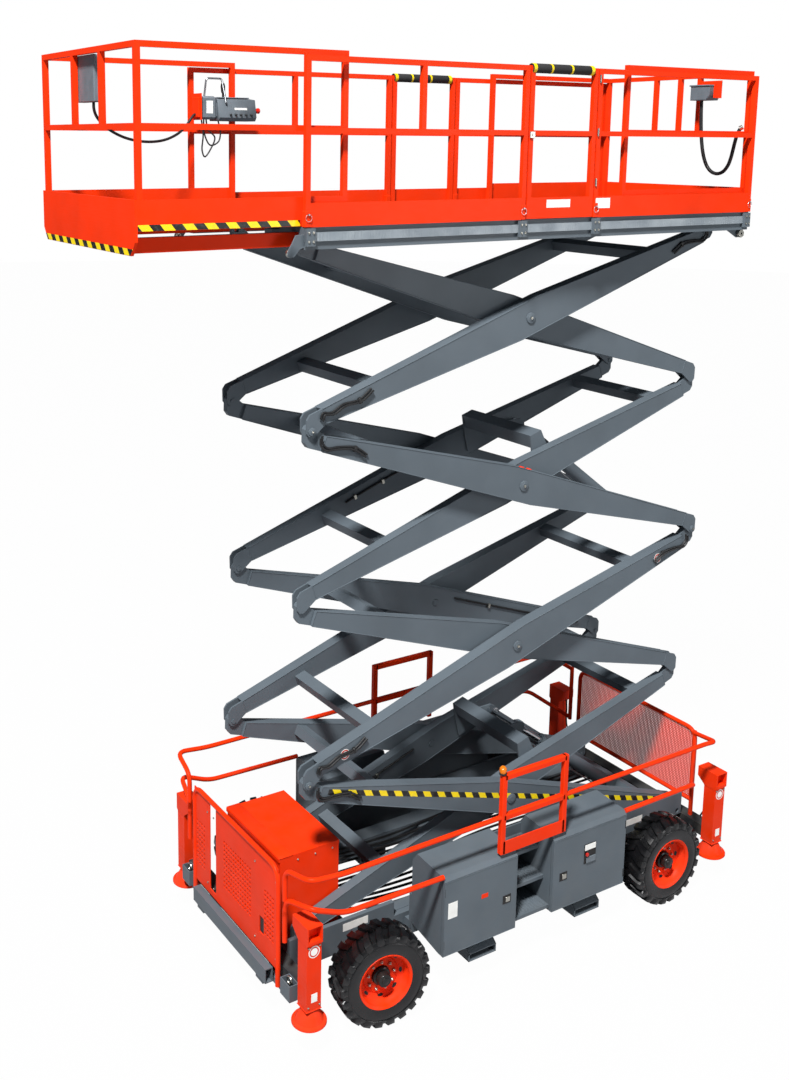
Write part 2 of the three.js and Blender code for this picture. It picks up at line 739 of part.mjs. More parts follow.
// a shell with its whole face open, under a roof that reaches over the door
function cabinet([x0, x1], side) {
  const roof = cabinetTop - roofEdge;
  const face = cabinetFace - doorThickness - clear;
  const shell = panel([
    [side * (sidePlateFace + gap), cabinetBottom + 60],
    [side * (cabinetFace - 60), cabinetBottom],
    [side * face, cabinetBottom],
    [side * face, roof + clear],
    [side * cabinetFace, roof + clear],
    [side * (cabinetFace - 30), cabinetTop],
    [side * (sidePlateFace + 60), cabinetTop + 20],
    [side * (sidePlateFace + gap), cabinetTop - 60],
  ], x0, x1);
  return shell.subtract(box(x0 + cabinetWall, x1 - cabinetWall, side * (sidePlateFace + cabinetWall),
    side * (face + 1), cabinetFloor, cabinetCeiling));
}

function steps(side) {
  const [x0, x1] = [rearCabinetX[1] - weld, frontCabinetX[0] + weld];
  const back = [side * (sidePlateFace + gap), side * (sidePlateFace + 14)];
  const pieces = [box(x0, x1, ...back, cabinetBottom + 60, cabinetTop - 70)];
  for (const [z, out] of [[410, 1085], [640, 1010], [870, 930]]) {
    pieces.push(box(x0, x1, back[0], side * out, z, z + 30));
  }
  return join(pieces);
}

for (const [name, side] of SIDES) {
  const both = join([cabinet(frontCabinetX, side), cabinet(rearCabinetX, side), steps(side)]);
  place(`${name}_cabinets`, both, greyPaint);
  for (const [end, span] of [['front', frontCabinetX], ['rear', rearCabinetX]]) {
    const inner = side * (cabinetFace - doorThickness);
    const door = box(span[0], span[1], inner, side * cabinetFace, cabinetBottom, cabinetTop - roofEdge);
    place(`${name}_${end}_door`, door, greyPaint);
  }
}

const engine = box(rearCabinetX[0] + 120, rearCabinetX[1] - 120, -(sidePlateFace + 60), -(cabinetFace - 90),
  cabinetFloor + gap, cabinetFloor + 400);
place('engine_block', engine, darkPaint);

// ---------------------------------------------------------------- tank box behind the front guard

const tankX = [1500, 2040];
const tankHalfWidth = 436;
const tankTop = 1170;
const lidThickness = 30;

const tank = cut(box(tankX[0], tankX[1], -tankHalfWidth, tankHalfWidth, 445 + gap, tankTop), [
  box(tankX[0] + 20, tankX[1] - 20, -tankHalfWidth + 20, tankHalfWidth - 20, 470, tankTop + 1),
]);
place('tank_box', tank, orangePaint);
const lidX = [tankX[0] - 4, tankX[1] + 12];
const lid = box(...lidX, -tankHalfWidth, tankHalfWidth, tankTop + gap, tankTop + lidThickness);
place('tank_lid', lid, orangePaint);

// ---------------------------------------------------------------- guards and rails

function frontGuard() {
  const w = guardHalfWidth - guardTubeRadius;
  const top = guardTop - guardTubeRadius;
  const foot = 345;
  const route = [[guardX, -w, foot], [guardX, -w, top], [guardX, w, top], [guardX, w, foot]];
  const plateX = [guardX - guardPlate / 2, guardX + guardPlate / 2];
  const plateBottom = 525; // under the gap between the two plates
  const bandBottom = plateBottom - 50;
  const wide = box(...plateX, guardGapY[1], w, plateBottom, top);
  const narrow = box(...plateX, -w, guardGapY[0], bandBottom, top);
  const band = box(...plateX, -w, w, bandBottom, plateBottom + weld);
  const shelf = box(plateX[0] - 22, plateX[0] + weld, -w, w, bandBottom, bandBottom + 12);
  const slot = box(guardX - 30, guardX + 30, ...guardSlotY, ...guardSlotZ);
  return join([tube(rounded(route, 120), guardTubeRadius), wide, narrow, band, shelf]).subtract(slot);
}

function rearGuard() {
  const w = rearGuardHalfWidth;
  const x = rearGuardX;
  const foot = outriggerBeamTop + gap;
  const low = 620;
  const route = [[x, -w, foot], [x, -w, rearGuardTop], [x, w, rearGuardTop], [x, w, foot]];
  const frame = tube(rounded(route, 110), guardTubeRadius);
  const plate = box(x - guardPlate / 2, x + guardPlate / 2, -w, w, low, rearGuardTop);
  return join([frame, plate, straight([x, -w - 5, low], [x, w + 5, low], guardTubeRadius)]);
}

place('front_guard', frontGuard(), orangePaint);
place('rear_guard', rearGuard(), orangePaint);

function sideRails(name, side) {
  const r = guardTubeRadius;
  const y = side * sideRailY;
  const post = side * loopY;
  const upper = tube(rounded([
    [guardX, post, 1060], [guardX, post, 1370], [guardX - 30, y, 1430], [guardX - 310, y, upperRailZ],
    [-1960, y, upperRailZ + 10], [-2080, y, upperRailZ], [rearLoopX, post, 1330],
  ], 70), r);
  const lower = tube(rounded([
    [guardX, post, 780], [guardX, post, 1130], [guardX - 60, y, 1195], [1873, y, 1078],
    [frontCabinetX[1] + gap, y, lowerRailZ],
  ], 70), r);
  const rear = tube(rounded([
    [rearCabinetX[0] - gap, y, 1050], [-1830, y, 1055], [rearLoopX, post, 800],
  ], 70), r);
  const pieces = [upper, lower, rear];
  const half = gateFrameTube / 2;
  const [x0, x1] = gateFrameX[name];
  for (const x of [x0, x1]) {
    pieces.push(box(x - half, x + half, y - half, y + half, cabinetTop + 25, gateFrameTop));
  }
  for (const z of [gateFrameTop - half, upperRailZ]) {
    pieces.push(box(x0, x1, y - half, y + half, z - half, z + half));
  }
  const low = cabinetTop + 25;
  pieces.push(box(x0, x1, y + side * half, y + side * (half - 8), low, low + kickPlateHeight));
  // stays that join the rails at both ends
  pieces.push(straight([guardX, post, 1000], [guardX, post, 1120], r));
  pieces.push(straight([rearLoopX, post, 1350], [rearLoopX, post, 780], r));
  return join(pieces);
}

for (const [name, side] of SIDES) {
  place(`${name}_guard_rails`, sideRails(name, side), orangePaint);
}

// ---------------------------------------------------------------- platform

function platformDeck() {
  const pieces = [box(platformRearX, platformFrontX, -872, 872, topZ + floorUnderside, topZ + floorTop)];
  for (const [, side] of SIDES) {
    const frameTop = topZ + floorUnderside + weld;
    pieces.push(box(platformRearX, platformFrontX, side * 800, side * 872, topZ - 45, frameTop));
    const stripY = [side * 860, side * 886];
    pieces.push(box(platformRearX, platformFrontX, ...stripY, topZ + 10, topZ + floorUnderside));
    const trackBottom = topZ + lugRadius + 2;
    pieces.push(box(-60, 2190, side * railInner, side * trackOuter, trackBottom, frameTop));
    // the rear pivot's cheeks, with its pin
    const cheek = [
      [rearPivotX - 60, topZ + floorUnderside + weld],
      ...arc(rearPivotX, topZ, lugRadius, 180, 360, 4),
      [rearPivotX + 60, topZ + floorUnderside + weld],
    ];
    const inner = outerArmFace - outerArmWidth;
    pieces.push(slab(cheek, side * outerArmFace, side * (outerArmFace - outerCheek)));
    pieces.push(slab(cheek, side * inner, side * (inner + outerCheek)));
    const pin = [side * (inner - pinHeadThickness), side * (outerArmFace + pinHeadThickness)];
    pieces.push(barY(rearPivotX, topZ, endPinRadius, ...pin));
    for (const x of [platformFrontX - 70, gateX[1] - 10, gateX[0] - 60, platformRearX + 10]) {
      pieces.push(box(x, x + 70, side * 880, side * 906, topZ - 20, topZ + floorTop - 6));
    }
  }
  for (const x of [-2290, -1900, -1200, -400]) {
    pieces.push(box(x, x + 70, -810, 810, topZ + floorUnderside - 45, topZ + floorUnderside + weld));
  }
  return join(pieces);
}

place('platform_deck', platformDeck(), greyPaint);

// a square tube between two corners given by its middle line, along X, Y or Z
function squareTube([x0, y0, z0], [x1, y1, z1], end = railTube / 2) {
  const half = railTube / 2;
  const [dx, dy, dz] = [x1 - x0, y1 - y0, z1 - z0].map((d) => (Math.abs(d) > 1 ? end : half));
  return box(Math.min(x0, x1) - dx, Math.max(x0, x1) + dx, Math.min(y0, y1) - dy, Math.max(y0, y1) + dy,
    Math.min(z0, z1) - dz, Math.max(z0, z1) + dz);
}

// posts at both ends, a top rail, a mid rail and short posts between those two
function fence(x0, x1, y, low, mid, top, shortPosts) {
  const half = railTube / 2;
  const posts = [x0 + half, x1 - half];
  const pieces = posts.map((x) => box(x - half, x + half, y - half, y + half, low, top + half));
  pieces.push(squareTube([x0 + half, y, top], [x1 - half, y, top]));
  pieces.push(squareTube([x0 + half, y, mid], [x1 - half, y, mid]));
  for (const x of shortPosts) {
    pieces.push(squareTube([x, y, mid], [x, y, top], 0));
  }
  return pieces;
}

const postY = platformHalfWidth - railTube / 2;
const railLow = topZ + floorTop + gap;

function railSection(x0, x1, side, low, shortPosts) {
  const face = side * platformHalfWidth;
  return join([
    box(x0, x1, face - side * toeThickness, face, low, topZ + toeTop),
    ...fence(x0, x1, side * postY, low, topZ + midRailZ, topZ + topRailZ, shortPosts),
  ]);
}

for (const [name, side] of SIDES) {
  place(`${name}_front_rail`, railSection(gateX[1], platformFrontX, side, railLow, [1165]), orangePaint);
  place(`${name}_rear_rail`, railSection(platformRearX, gateX[0], side, railLow, []), orangePaint);
  const gate = railSection(gateX[0] + gateGap, gateX[1] - gateGap, side, railLow + clear, []);
  place(`${name}_gate`, gate, orangePaint);
}

// ---------------------------------------------------------------- extension decks

const extensionFloor = topZ + floorTop + clear;
const extensionMidZ = topZ + midRailZ + 15;
const extensionPostY = extensionHalfWidth - railTube / 2;

function frontExtensionRails() {
  const front = extensionFrontX - panelThickness;
  const bottom = topZ + panelBottom;
  const top = topZ + extensionToeTop;
  const w = extensionHalfWidth;
  const z = topZ + extensionTopZ;
  const postX = front - railTube / 2 + weld;
  const pieces = [panel([
    [-w, bottom + 90], [-w + 70, bottom], [w - 70, bottom], [w, bottom + 90], [w, top], [-w, top],
  ], front, extensionFrontX)];
  for (const [, side] of SIDES) {
    const toeY = [side * w, side * (w - toeThickness)];
    pieces.push(box(extensionRearX, front + weld, ...toeY, extensionFloor, top));
    const runnerTop = topZ + floorUnderside - clear;
    pieces.push(box(runnerRearX, front + weld, side * 700, side * 760, topZ - 30, runnerTop));
    const row = side * extensionPostY;
    pieces.push(...fence(extensionRearX, front + weld, row, extensionFloor, extensionMidZ, z, []));
  }
  for (const height of [z, extensionMidZ]) {
    pieces.push(squareTube([postX, -extensionPostY, height], [postX, extensionPostY, height], 0));
  }
  for (const y of [-238, 250]) {
    pieces.push(squareTube([postX, y, extensionMidZ], [postX, y, z], 0));
  }
  return join(pieces);
}

function rearExtensionRails() {
  const w = extensionHalfWidth;
  const back = platformRearX - 6;
  const z = topZ + extensionTopZ;
  const postX = back - weld + railTube / 2;
  const pieces = [box(back - 12, back, -w, w, extensionFloor, topZ + extensionToeTop)];
  for (const [, side] of SIDES) {
    const face = side * w;
    const toe = [extensionFloor, topZ + extensionToeTop];
    pieces.push(box(back - weld, rearDeckFrontX, face, face - side * toeThickness, ...toe));
    const row = side * extensionPostY;
    pieces.push(...fence(back - weld, rearDeckFrontX, row, extensionFloor, extensionMidZ, z, []));
  }
  for (const height of [z, extensionMidZ]) {
    pieces.push(squareTube([postX, -extensionPostY, height], [postX, extensionPostY, height], 0));
  }
  for (const y of [-220, 60, 280]) {
    pieces.push(squareTube([postX, y, extensionMidZ], [postX, y, z], 0));
  }
  return join(pieces);
}

const deckHalfWidth = extensionHalfWidth - railTube - gap;
const deckTop = extensionFloor + deckPlate;
const deckSheet = (x0, x1) => box(x0, x1, -deckHalfWidth, deckHalfWidth, extensionFloor, deckTop);
const frontDeckEnd = extensionFrontX - panelThickness - railTube;

place('front_extension_rails', frontExtensionRails(), orangePaint);
place('front_extension_deck', deckSheet(extensionRearX, frontDeckEnd), greyPaint);
place('rear_extension_rails', rearExtensionRails(), orangePaint);
place('rear_extension_deck', deckSheet(platformRearX + railTube, rearDeckFrontX), greyPaint);

// ---------------------------------------------------------------- boxes on the rails and their cords

const cableRadius = 10;
const hoseRadius = 15;
const cordSides = 8;
const extensionInside = extensionPostY - railTube / 2;

// the control box hangs on the inner faces of the extension's right-hand rear post and mid rail
const controlBox = join([
  panel([
    [-extensionInside + gap, topZ + 822], [-640, topZ + 822], [-620, topZ + 850],
    [-650, topZ + 990], [-extensionInside + gap, topZ + 1005],
  ], 1660, 1990),
  box(1985, 2130, -770, -650, topZ + 835, topZ + 1010),
]);
place('control_box', controlBox, plasticGrey);

const frontPostFace = extensionFrontX - panelThickness + weld - railTube;
place('document_box', box(frontPostFace - 75, frontPostFace - gap, -270, 60,
  topZ + 925, topZ + extensionTopZ - railTube / 2 - gap), plasticGrey);

const rearPostFace = platformRearX - 6 - weld + railTube;
const rearBox = panel([
  [320, topZ + 1040], [500, topZ + 1040], [530, topZ + 1090], [530, topZ + 1165], [320, topZ + 1165],
], rearPostFace + gap, rearPostFace + 150);
place('rear_box', rearBox, plasticGrey);

// one smooth line through hand-set points, in the order from its exit to its far end
function cord(points, radius, steps) {
  const line = points.map((p) => new THREE.Vector3(...p));
  const curve = new THREE.CatmullRomCurve3(line, false, 'centripetal');
  return tube(curve.getSpacedPoints(steps), radius * Math.cos(Math.PI / cordSides), cordSides);
}

// from the foot of the document box to the side of the control box
const cableRoute = [
  [3260, 0, topZ + 924], [3260, 0, topZ + 885], [3238, -22, topZ + 840], [3180, -66, topZ + 788],
  [3090, -130, topZ + 740], [2980, -208, topZ + 702], [2860, -292, topZ + 677], [2740, -376, topZ + 665],
  [2620, -458, topZ + 664], [2510, -530, topZ + 674], [2410, -592, topZ + 697], [2320, -642, topZ + 733],
  [2245, -678, topZ + 785], [2190, -700, topZ + 842], [2160, -712, topZ + 868], [2141, -713, topZ + 872],
];
place('control_cable', cord(cableRoute, cableRadius, 40), cableBlack);

// from the foot of the rear box down in a loop and up to its clip on the corner post
const hoseRoute = [
  [-2180, 400, topZ + 1039.5], [-2180, 401, topZ + 1000], [-2180, 404, topZ + 930],
  [-2181, 409, topZ + 850], [-2182, 416, topZ + 770], [-2184, 426, topZ + 690], [-2186, 441, topZ + 612], [-2189, 463, topZ + 540],
  [-2192, 497, topZ + 477], [-2196, 545, topZ + 434], [-2200, 602, topZ + 420], [-2204, 657, topZ + 438],
  [-2208, 700, topZ + 487], [-2212, 724, topZ + 552], [-2216, 738, topZ + 622], [-2221, 749, topZ + 690],
  [-2228, 760, topZ + 748], [-2239, 774, topZ + 792], [-2252, 791.2, topZ + 815],
];
place('rear_hose', cord(hoseRoute, hoseRadius, 44), cableBlack);

export default lift;
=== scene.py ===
"""The looks of a rough terrain scissor lift, built on its packed construction model."""

import json
import math

import bpy
import numpy as np
from bpy.props import FloatProperty, FloatVectorProperty, IntProperty, PointerProperty
from mathutils import Matrix, Vector

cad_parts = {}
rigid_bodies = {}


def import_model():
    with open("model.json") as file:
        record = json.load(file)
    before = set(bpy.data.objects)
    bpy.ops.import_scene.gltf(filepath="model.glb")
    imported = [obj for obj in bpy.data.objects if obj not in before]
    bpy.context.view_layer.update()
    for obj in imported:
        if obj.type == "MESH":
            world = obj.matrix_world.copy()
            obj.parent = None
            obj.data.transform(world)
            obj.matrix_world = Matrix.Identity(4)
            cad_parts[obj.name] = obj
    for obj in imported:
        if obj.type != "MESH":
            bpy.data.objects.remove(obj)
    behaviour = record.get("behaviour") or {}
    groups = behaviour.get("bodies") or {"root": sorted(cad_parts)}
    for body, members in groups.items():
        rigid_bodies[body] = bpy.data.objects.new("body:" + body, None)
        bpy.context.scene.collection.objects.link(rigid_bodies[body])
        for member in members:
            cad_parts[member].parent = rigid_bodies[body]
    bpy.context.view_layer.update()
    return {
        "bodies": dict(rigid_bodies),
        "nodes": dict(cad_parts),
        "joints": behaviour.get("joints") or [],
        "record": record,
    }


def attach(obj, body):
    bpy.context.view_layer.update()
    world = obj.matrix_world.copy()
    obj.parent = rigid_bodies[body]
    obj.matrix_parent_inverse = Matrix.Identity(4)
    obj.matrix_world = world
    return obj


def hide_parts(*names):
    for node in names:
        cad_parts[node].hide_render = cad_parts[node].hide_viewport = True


bl_info = {
    "name": "Scissor Lift Looks",
    "version": (1, 0, 0),
    "blender": (4, 5, 0),
    "location": "3D View > Sidebar > Scissor Lift",
    "description": "Finishes and detail pieces of a rough terrain scissor lift",
    "category": "Object",
}

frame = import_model()

# ---------------------------------------------------------------- places taken from the frame

JOINTS = {joint["name"]: joint for joint in frame["joints"]}
SIDES = (("left", 1), ("right", -1))
ENDS = ("front", "rear")
STAGES = (1, 2, 3, 4)


# Places are written from a point on the floor 2.115 m ahead of the rear pivot, and put() and the
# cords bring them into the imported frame, whose own zero is at the middle of the footprint.
LAYOUT_ZERO = np.array([JOINTS["lift"]["pos_m"][0] + 2.115, 0, 0])


def pin(name):
    """The point that a joint turns or slides at."""
    return np.array(JOINTS[name]["pos_m"], float) - LAYOUT_ZERO


REAR_PIVOT = pin("lift")
FRONT_PIVOT = pin("arm_joint_1")
ARM_PITCH = np.linalg.norm(FRONT_PIVOT - REAR_PIVOT)
ARM_ANGLE = math.atan2(FRONT_PIVOT[2] - REAR_PIVOT[2], FRONT_PIVOT[0] - REAR_PIVOT[0])
STAGE_RISE = FRONT_PIVOT[2] - REAR_PIVOT[2]
TOP_Z = REAR_PIVOT[2] + len(STAGES) * STAGE_RISE

ARM_FACE = {"outer": 0.652, "inner": 0.537}  # outer face of an arm, from the middle plane
ARM_WIDTH = {"outer": 0.100, "inner": 0.080}
ARM_HALF_DEPTH = 0.136
ARM_END_DEPTH = 0.122
TAPE = 0.0008  # thickness of the warning tape

# ---------------------------------------------------------------- settings a user would change


class LiftSettings(bpy.types.PropertyGroup):
    """Sizes and colours of the finish."""

    orange: FloatVectorProperty(
        name="Orange enamel", description="Colour of the guards, rails and outriggers",
        subtype="COLOR", size=3, min=0, max=1, default=(0.86, 0.034, 0.002))
    grey: FloatVectorProperty(
        name="Grey enamel", description="Colour of the arms, cabinets and chassis",
        subtype="COLOR", size=3, min=0, max=1, default=(0.105, 0.128, 0.148))
    key_power: FloatProperty(
        name="Key light", description="Power of the large lamp on the camera's side",
        unit="POWER", min=0, default=14500)
    tread_lugs: IntProperty(
        name="Tread lugs", description="Number of lugs in each of a tyre's two rows",
        min=8, max=60, default=22)
    lug_height: FloatProperty(
        name="Lug height", description="Height of a tyre's lugs over the tread's floor",
        unit="LENGTH", min=0.005, max=0.05, default=0.019)
    stripe_pitch: FloatProperty(
        name="Stripe pitch", description="Distance from one warning stripe to the next",
        unit="LENGTH", min=0.02, default=0.155)


def settings():
    return bpy.context.scene.lift_settings


# ---------------------------------------------------------------- shapes as whole arrays


class Shape:
    """Points as an (n, 3) array, and faces as a list of (count, corners) index arrays."""

    def __init__(self, points, faces):
        self.points = np.asarray(points, float).reshape(-1, 3)
        self.faces = [np.asarray(block, int) for block in faces if len(block)]

    def outward(self):
        """Turns every face round where the volume, the sum of a . (b x c) over fans, is negative."""
        volume = 0.0
        for block in self.faces:
            a = self.points[block[:, 0]]
            for k in range(1, block.shape[1] - 1):
                b, c = self.points[block[:, k]], self.points[block[:, k + 1]]
                volume += (a * np.cross(b, c)).sum()
        return self if volume >= 0 else Shape(self.points, [block[:, ::-1] for block in self.faces])

    def moved(self, x=0.0, y=0.0, z=0.0):
        return Shape(self.points + (x, y, z), self.faces)

    def placed(self, origin, axes):
        """Each point becomes origin + its three numbers times the three axes, given as rows."""
        axes = np.asarray(axes, float)
        turned = self.points @ axes + origin
        if np.linalg.det(axes) < 0:
            return Shape(turned, [block[:, ::-1] for block in self.faces])
        return Shape(turned, self.faces)

    def repeated(self, offsets):
        """One copy at each offset, by broadcasting the points over the offsets."""
        offsets = np.asarray(offsets, float).reshape(-1, 1, 3)
        count, size = len(offsets), len(self.points)
        points = (self.points[None] + offsets).reshape(-1, 3)
        starts = (np.arange(count) * size)[:, None, None]
        faces = [(block[None] + starts).reshape(-1, block.shape[1]) for block in self.faces]
        return Shape(points, faces)


def joined(shapes):
    """Several shapes as one, the indices of each raised by the points before it."""
    shapes = list(shapes)
    starts = np.cumsum([0] + [len(shape.points) for shape in shapes])
    faces = [block + start for shape, start in zip(shapes, starts) for block in shape.faces]
    return Shape(np.concatenate([shape.points for shape in shapes]), faces)


def net(points, wrap_rows=False, wrap_columns=False, caps=False):
    """A surface on a grid of points: quads between neighbouring rows and columns.

    points has the shape (rows, columns, 3). A wrapped direction closes on itself, and caps
    closes the first and the last row with one face each.
    """
    rows, columns = points.shape[:2]
    index = np.arange(rows * columns).reshape(rows, columns)
    i = np.arange(rows if wrap_rows else rows - 1)[:, None]
    j = np.arange(columns if wrap_columns else columns - 1)[None]
    i2, j2 = (i + 1) % rows, (j + 1) % columns
    quads = np.stack([index[i, j], index[i, j2], index[i2, j2], index[i2, j]], -1).reshape(-1, 4)
    faces = [quads]
    if caps:
        faces += [index[:1, ::-1], index[-1:]]
    shape = Shape(points, faces)
    return shape.outward() if caps or (wrap_rows and wrap_columns) else shape


def circle(radius, sides, start=0.0):
    """(radius cos a, radius sin a) for evenly spaced angles a."""
    angle = start + np.arange(sides) * 2 * math.pi / sides
    return np.stack([radius * np.cos(angle), radius * np.sin(angle)], -1)


def unit(vectors):
    return vectors / np.linalg.norm(vectors, axis=-1, keepdims=True)


def carried(section, path, up=None, wrap=False):
    """A closed section carried along a path.

    Each point is path + across * side + along * lift, where side is the path's direction
    crossed with a fixed reference, and lift is square to both. At a corner the section is
    stretched by one over the cosine of half the turn, so that the tube keeps its width.
    """
    path = np.asarray(path, float)
    steps = np.diff(np.vstack([path, path[:1]]) if wrap else path, axis=0)
    steps = unit(steps)
    before = np.vstack([steps[-1:] if wrap else steps[:1], steps[: len(path) - 1]])
    after = steps if wrap else np.vstack([steps, steps[-1:]])
    tangent = unit(before + after)
    if up is None:
        references = np.eye(3)
        up = references[np.argmin(np.abs(steps @ references).max(0))]
    side = unit(np.cross(tangent, up))
    lift = np.cross(side, tangent)
    half_turn = np.sqrt(np.clip((1 + (before * after).sum(-1)) / 2, 0.25, 1))
    bend = unit(after - before + 1e-12 * side)
    section = np.asarray(section, float)
    flat = section[None, :, :1] * side[:, None] + section[None, :, 1:] * lift[:, None]
    along_bend = (flat * bend[:, None]).sum(-1, keepdims=True)
    flat = flat + along_bend * bend[:, None] * (1 / half_turn - 1)[:, None, None]
    return net(path[:, None] + flat, wrap_rows=wrap, wrap_columns=True, caps=not wrap)


def softened(route, reach, steps=6):
    """A route whose corners are turned into arcs.

    Each arc is the quadratic curve (1-t)^2 a + 2t(1-t) corner + t^2 b, from a point before
    the corner to one after it.
    """
    route = np.asarray(route, float)
    t = np.linspace(0, 1, steps + 1)[:, None]
    pieces = [route[:1]]
    for before, corner, after in zip(route[:-2], route[1:-1], route[2:]):
        back, on = before - corner, after - corner
        size = min(reach, 0.45 * np.linalg.norm(back), 0.45 * np.linalg.norm(on))
        a, b = corner + unit(back) * size, corner + unit(on) * size
        pieces.append((1 - t) ** 2 * a + 2 * t * (1 - t) * corner + t ** 2 * b)
    return np.vstack(pieces + [route[-1:]])


def flowing(points, steps):
    """A smooth line through given points: a centripetal Catmull-Rom spline.

    Between two points it is Neville's blend of straight lines, with knots whose spacing is
    the square root of the points' distance. The line is then cut into equal lengths.
    """
    points = np.asarray(points, float)
    padded = np.vstack([2 * points[0] - points[1], points, 2 * points[-1] - points[-2]])
    knots = np.concatenate([[0], np.cumsum(np.linalg.norm(np.diff(padded, axis=0), axis=1) ** 0.5)])
    fine = []
    for k in range(1, len(points)):
        p, t = padded[k - 1:k + 3], knots[k - 1:k + 3]
        at = np.linspace(t[1], t[2], 24, endpoint=k == len(points) - 1)[:, None]
        a = [(p[i] * (t[i + 1] - at) + p[i + 1] * (at - t[i])) / (t[i + 1] - t[i]) for i in range(3)]
        b = [(a[i] * (t[i + 2] - at) + a[i + 1] * (at - t[i])) / (t[i + 2] - t[i]) for i in range(2)]
        fine.append((b[0] * (t[2] - at) + b[1] * (at - t[1])) / (t[2] - t[1]))
    fine = np.vstack(fine)
    length = np.concatenate([[0], np.cumsum(np.linalg.norm(np.diff(fine, axis=0), axis=1))])
    even = np.linspace(0, length[-1], steps + 1)
    return np.stack([np.interp(even, length, fine[:, axis]) for axis in range(3)], -1)


def pipe(route, radius, bend=0.0, sides=16, wrap=False):
    """A round tube along a route, its corners softened over the given reach."""
    path = softened(route, bend) if bend else np.asarray(route, float)
    return carried(circle(radius, sides), path, wrap=wrap)


def turned(profile, origin, axis, sides=48, closed=True):
    """A profile of (radius, height) turned about an axis: (radius cos a, radius sin a, height).

    A closed profile is a ring's section; an open one starts and ends on the axis.
    """
    profile = np.asarray(profile, float)
    axis = unit(np.asarray(axis, float))
    first = unit(np.cross(axis, np.eye(3)[np.argmin(np.abs(axis))]))
    second = np.cross(axis, first)
    angle = np.arange(sides) * 2 * math.pi / sides
    round_ = np.cos(angle)[:, None] * first + np.sin(angle)[:, None] * second
    points = profile[:, None, :1] * round_[None] + profile[:, None, 1:] * axis + np.asarray(origin)
    return net(points, wrap_rows=closed, wrap_columns=True, caps=not closed)


def rod(start, end, radius, sides=16, chamfer=0.0):
    """A round bar between two points, with its end edges broken by a chamfer."""
    start, end = np.asarray(start, float), np.asarray(end, float)
    length = np.linalg.norm(end - start)
    c = chamfer
    profile = [(radius - c, 0), (radius, c), (radius, length - c), (radius - c, length)]
    if not c:
        profile = [(radius, 0), (radius, length)]
    return turned(profile, start, end - start, sides, closed=False)


def block(low, high, chamfer=0.0):
    """A box with all twelve edges broken: three rounded rectangles' corners, by signs."""
    low, high = np.minimum(low, high).astype(float), np.maximum(low, high).astype(float)
    middle, half = (low + high) / 2, (high - low) / 2
    c = min(chamfer, half.min() * 0.9)
    x, y, z = half
    if not c:
        ring = np.array([(-x, -y), (x, -y), (x, y), (-x, y)])
        levels = [(1, -z), (1, z)]
    else:
        ring = np.array([(-x + c, -y), (x - c, -y), (x, -y + c), (x, y - c),
                         (x - c, y), (-x + c, y), (-x, y - c), (-x, -y + c)])
        levels = [(0, -z), (1, -z + c), (1, z - c), (0, z)]
    rows = []
    for full, height in levels:
        row = ring if full else np.sign(ring) * np.maximum(np.abs(ring) - c, 0)
        rows.append(np.column_stack([row, np.full(len(row), height)]))
    return net(np.array(rows), wrap_columns=True, caps=True).moved(*middle)


def side_plate(x_span, z_span, face, side, thickness=0.001, chamfer=0.0):
    """A thin plate that stands out sideways from a face across Y."""
    (x0, x1), (z0, z1) = x_span, z_span
    return block((x0, face, z0), (x1, face + side * thickness, z1), chamfer)


def prism(outline, axis, low, high, chamfer=0.0):
    """A flat outline carried along X, Y or Z: the outline's two numbers are the other axes."""
    outline = np.asarray(outline, float)
    middle = (outline.min(0) + outline.max(0)) / 2
    small = middle + (outline - middle) * (1 - chamfer / np.abs(outline - middle).max(0))
    rows = [(small, low), (outline, low + chamfer), (outline, high - chamfer), (small, high)]
    if not chamfer:
        rows = [(outline, low), (outline, high)]
    points = np.array([np.column_stack([row, np.full(len(row), at)]) for row, at in rows])
    shape = net(points, wrap_columns=True, caps=True)
    order = {"x": [2, 0, 1], "y": [0, 2, 1], "z": [0, 1, 2]}[axis]
    return Shape(shape.points[:, order], shape.faces).outward()


def put(name, shape, finish, body, replaces=(), smooth=40.0):
    """Makes a shape, or a list of shapes, a piece that rides on a body.

    Its material is its finish's. Faces meet smoothly under the angle.
    """
    shape = joined(shape) if isinstance(shape, (list, tuple)) else shape
    mesh = bpy.data.meshes.new(name)
    faces = [face for face_block in shape.faces for face in face_block.tolist()]
    mesh.from_pydata((shape.points + LAYOUT_ZERO).tolist(), [], faces)
    mesh.polygons.foreach_set("use_smooth", np.full(len(mesh.polygons), bool(smooth)))
    if smooth:
        mesh.set_sharp_from_angle(angle=math.radians(smooth))
    mesh.materials.append(FINISH[finish])
    piece = bpy.data.objects.new(name, mesh)
    bpy.context.scene.collection.objects.link(piece)
    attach(piece, body)
    if replaces:
        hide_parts(*replaces)
    return piece


# ---------------------------------------------------------------- materials

MM = 1000.0  # millimetres in a metre


def linear(hex_colour):
    """An sRGB hex colour as linear red, green, blue and 1."""
    srgb = [int(hex_colour[i:i + 2], 16) / 255 for i in (1, 3, 5)]
    return [c / 12.92 if c <= 0.04045 else ((c + 0.055) / 1.055) ** 2.4 for c in srgb] + [1.0]


def add(tree, kind, inputs=None, **options):
    """Adds a node. inputs maps an input's name or number to a value or to an output socket."""
    made = tree.nodes.new(kind)
    for name, value in options.items():
        setattr(made, name, value)
    for name, value in (inputs or {}).items():
        if isinstance(value, bpy.types.NodeSocket):
            tree.links.new(value, made.inputs[name])
        else:
            made.inputs[name].default_value = value
    return made


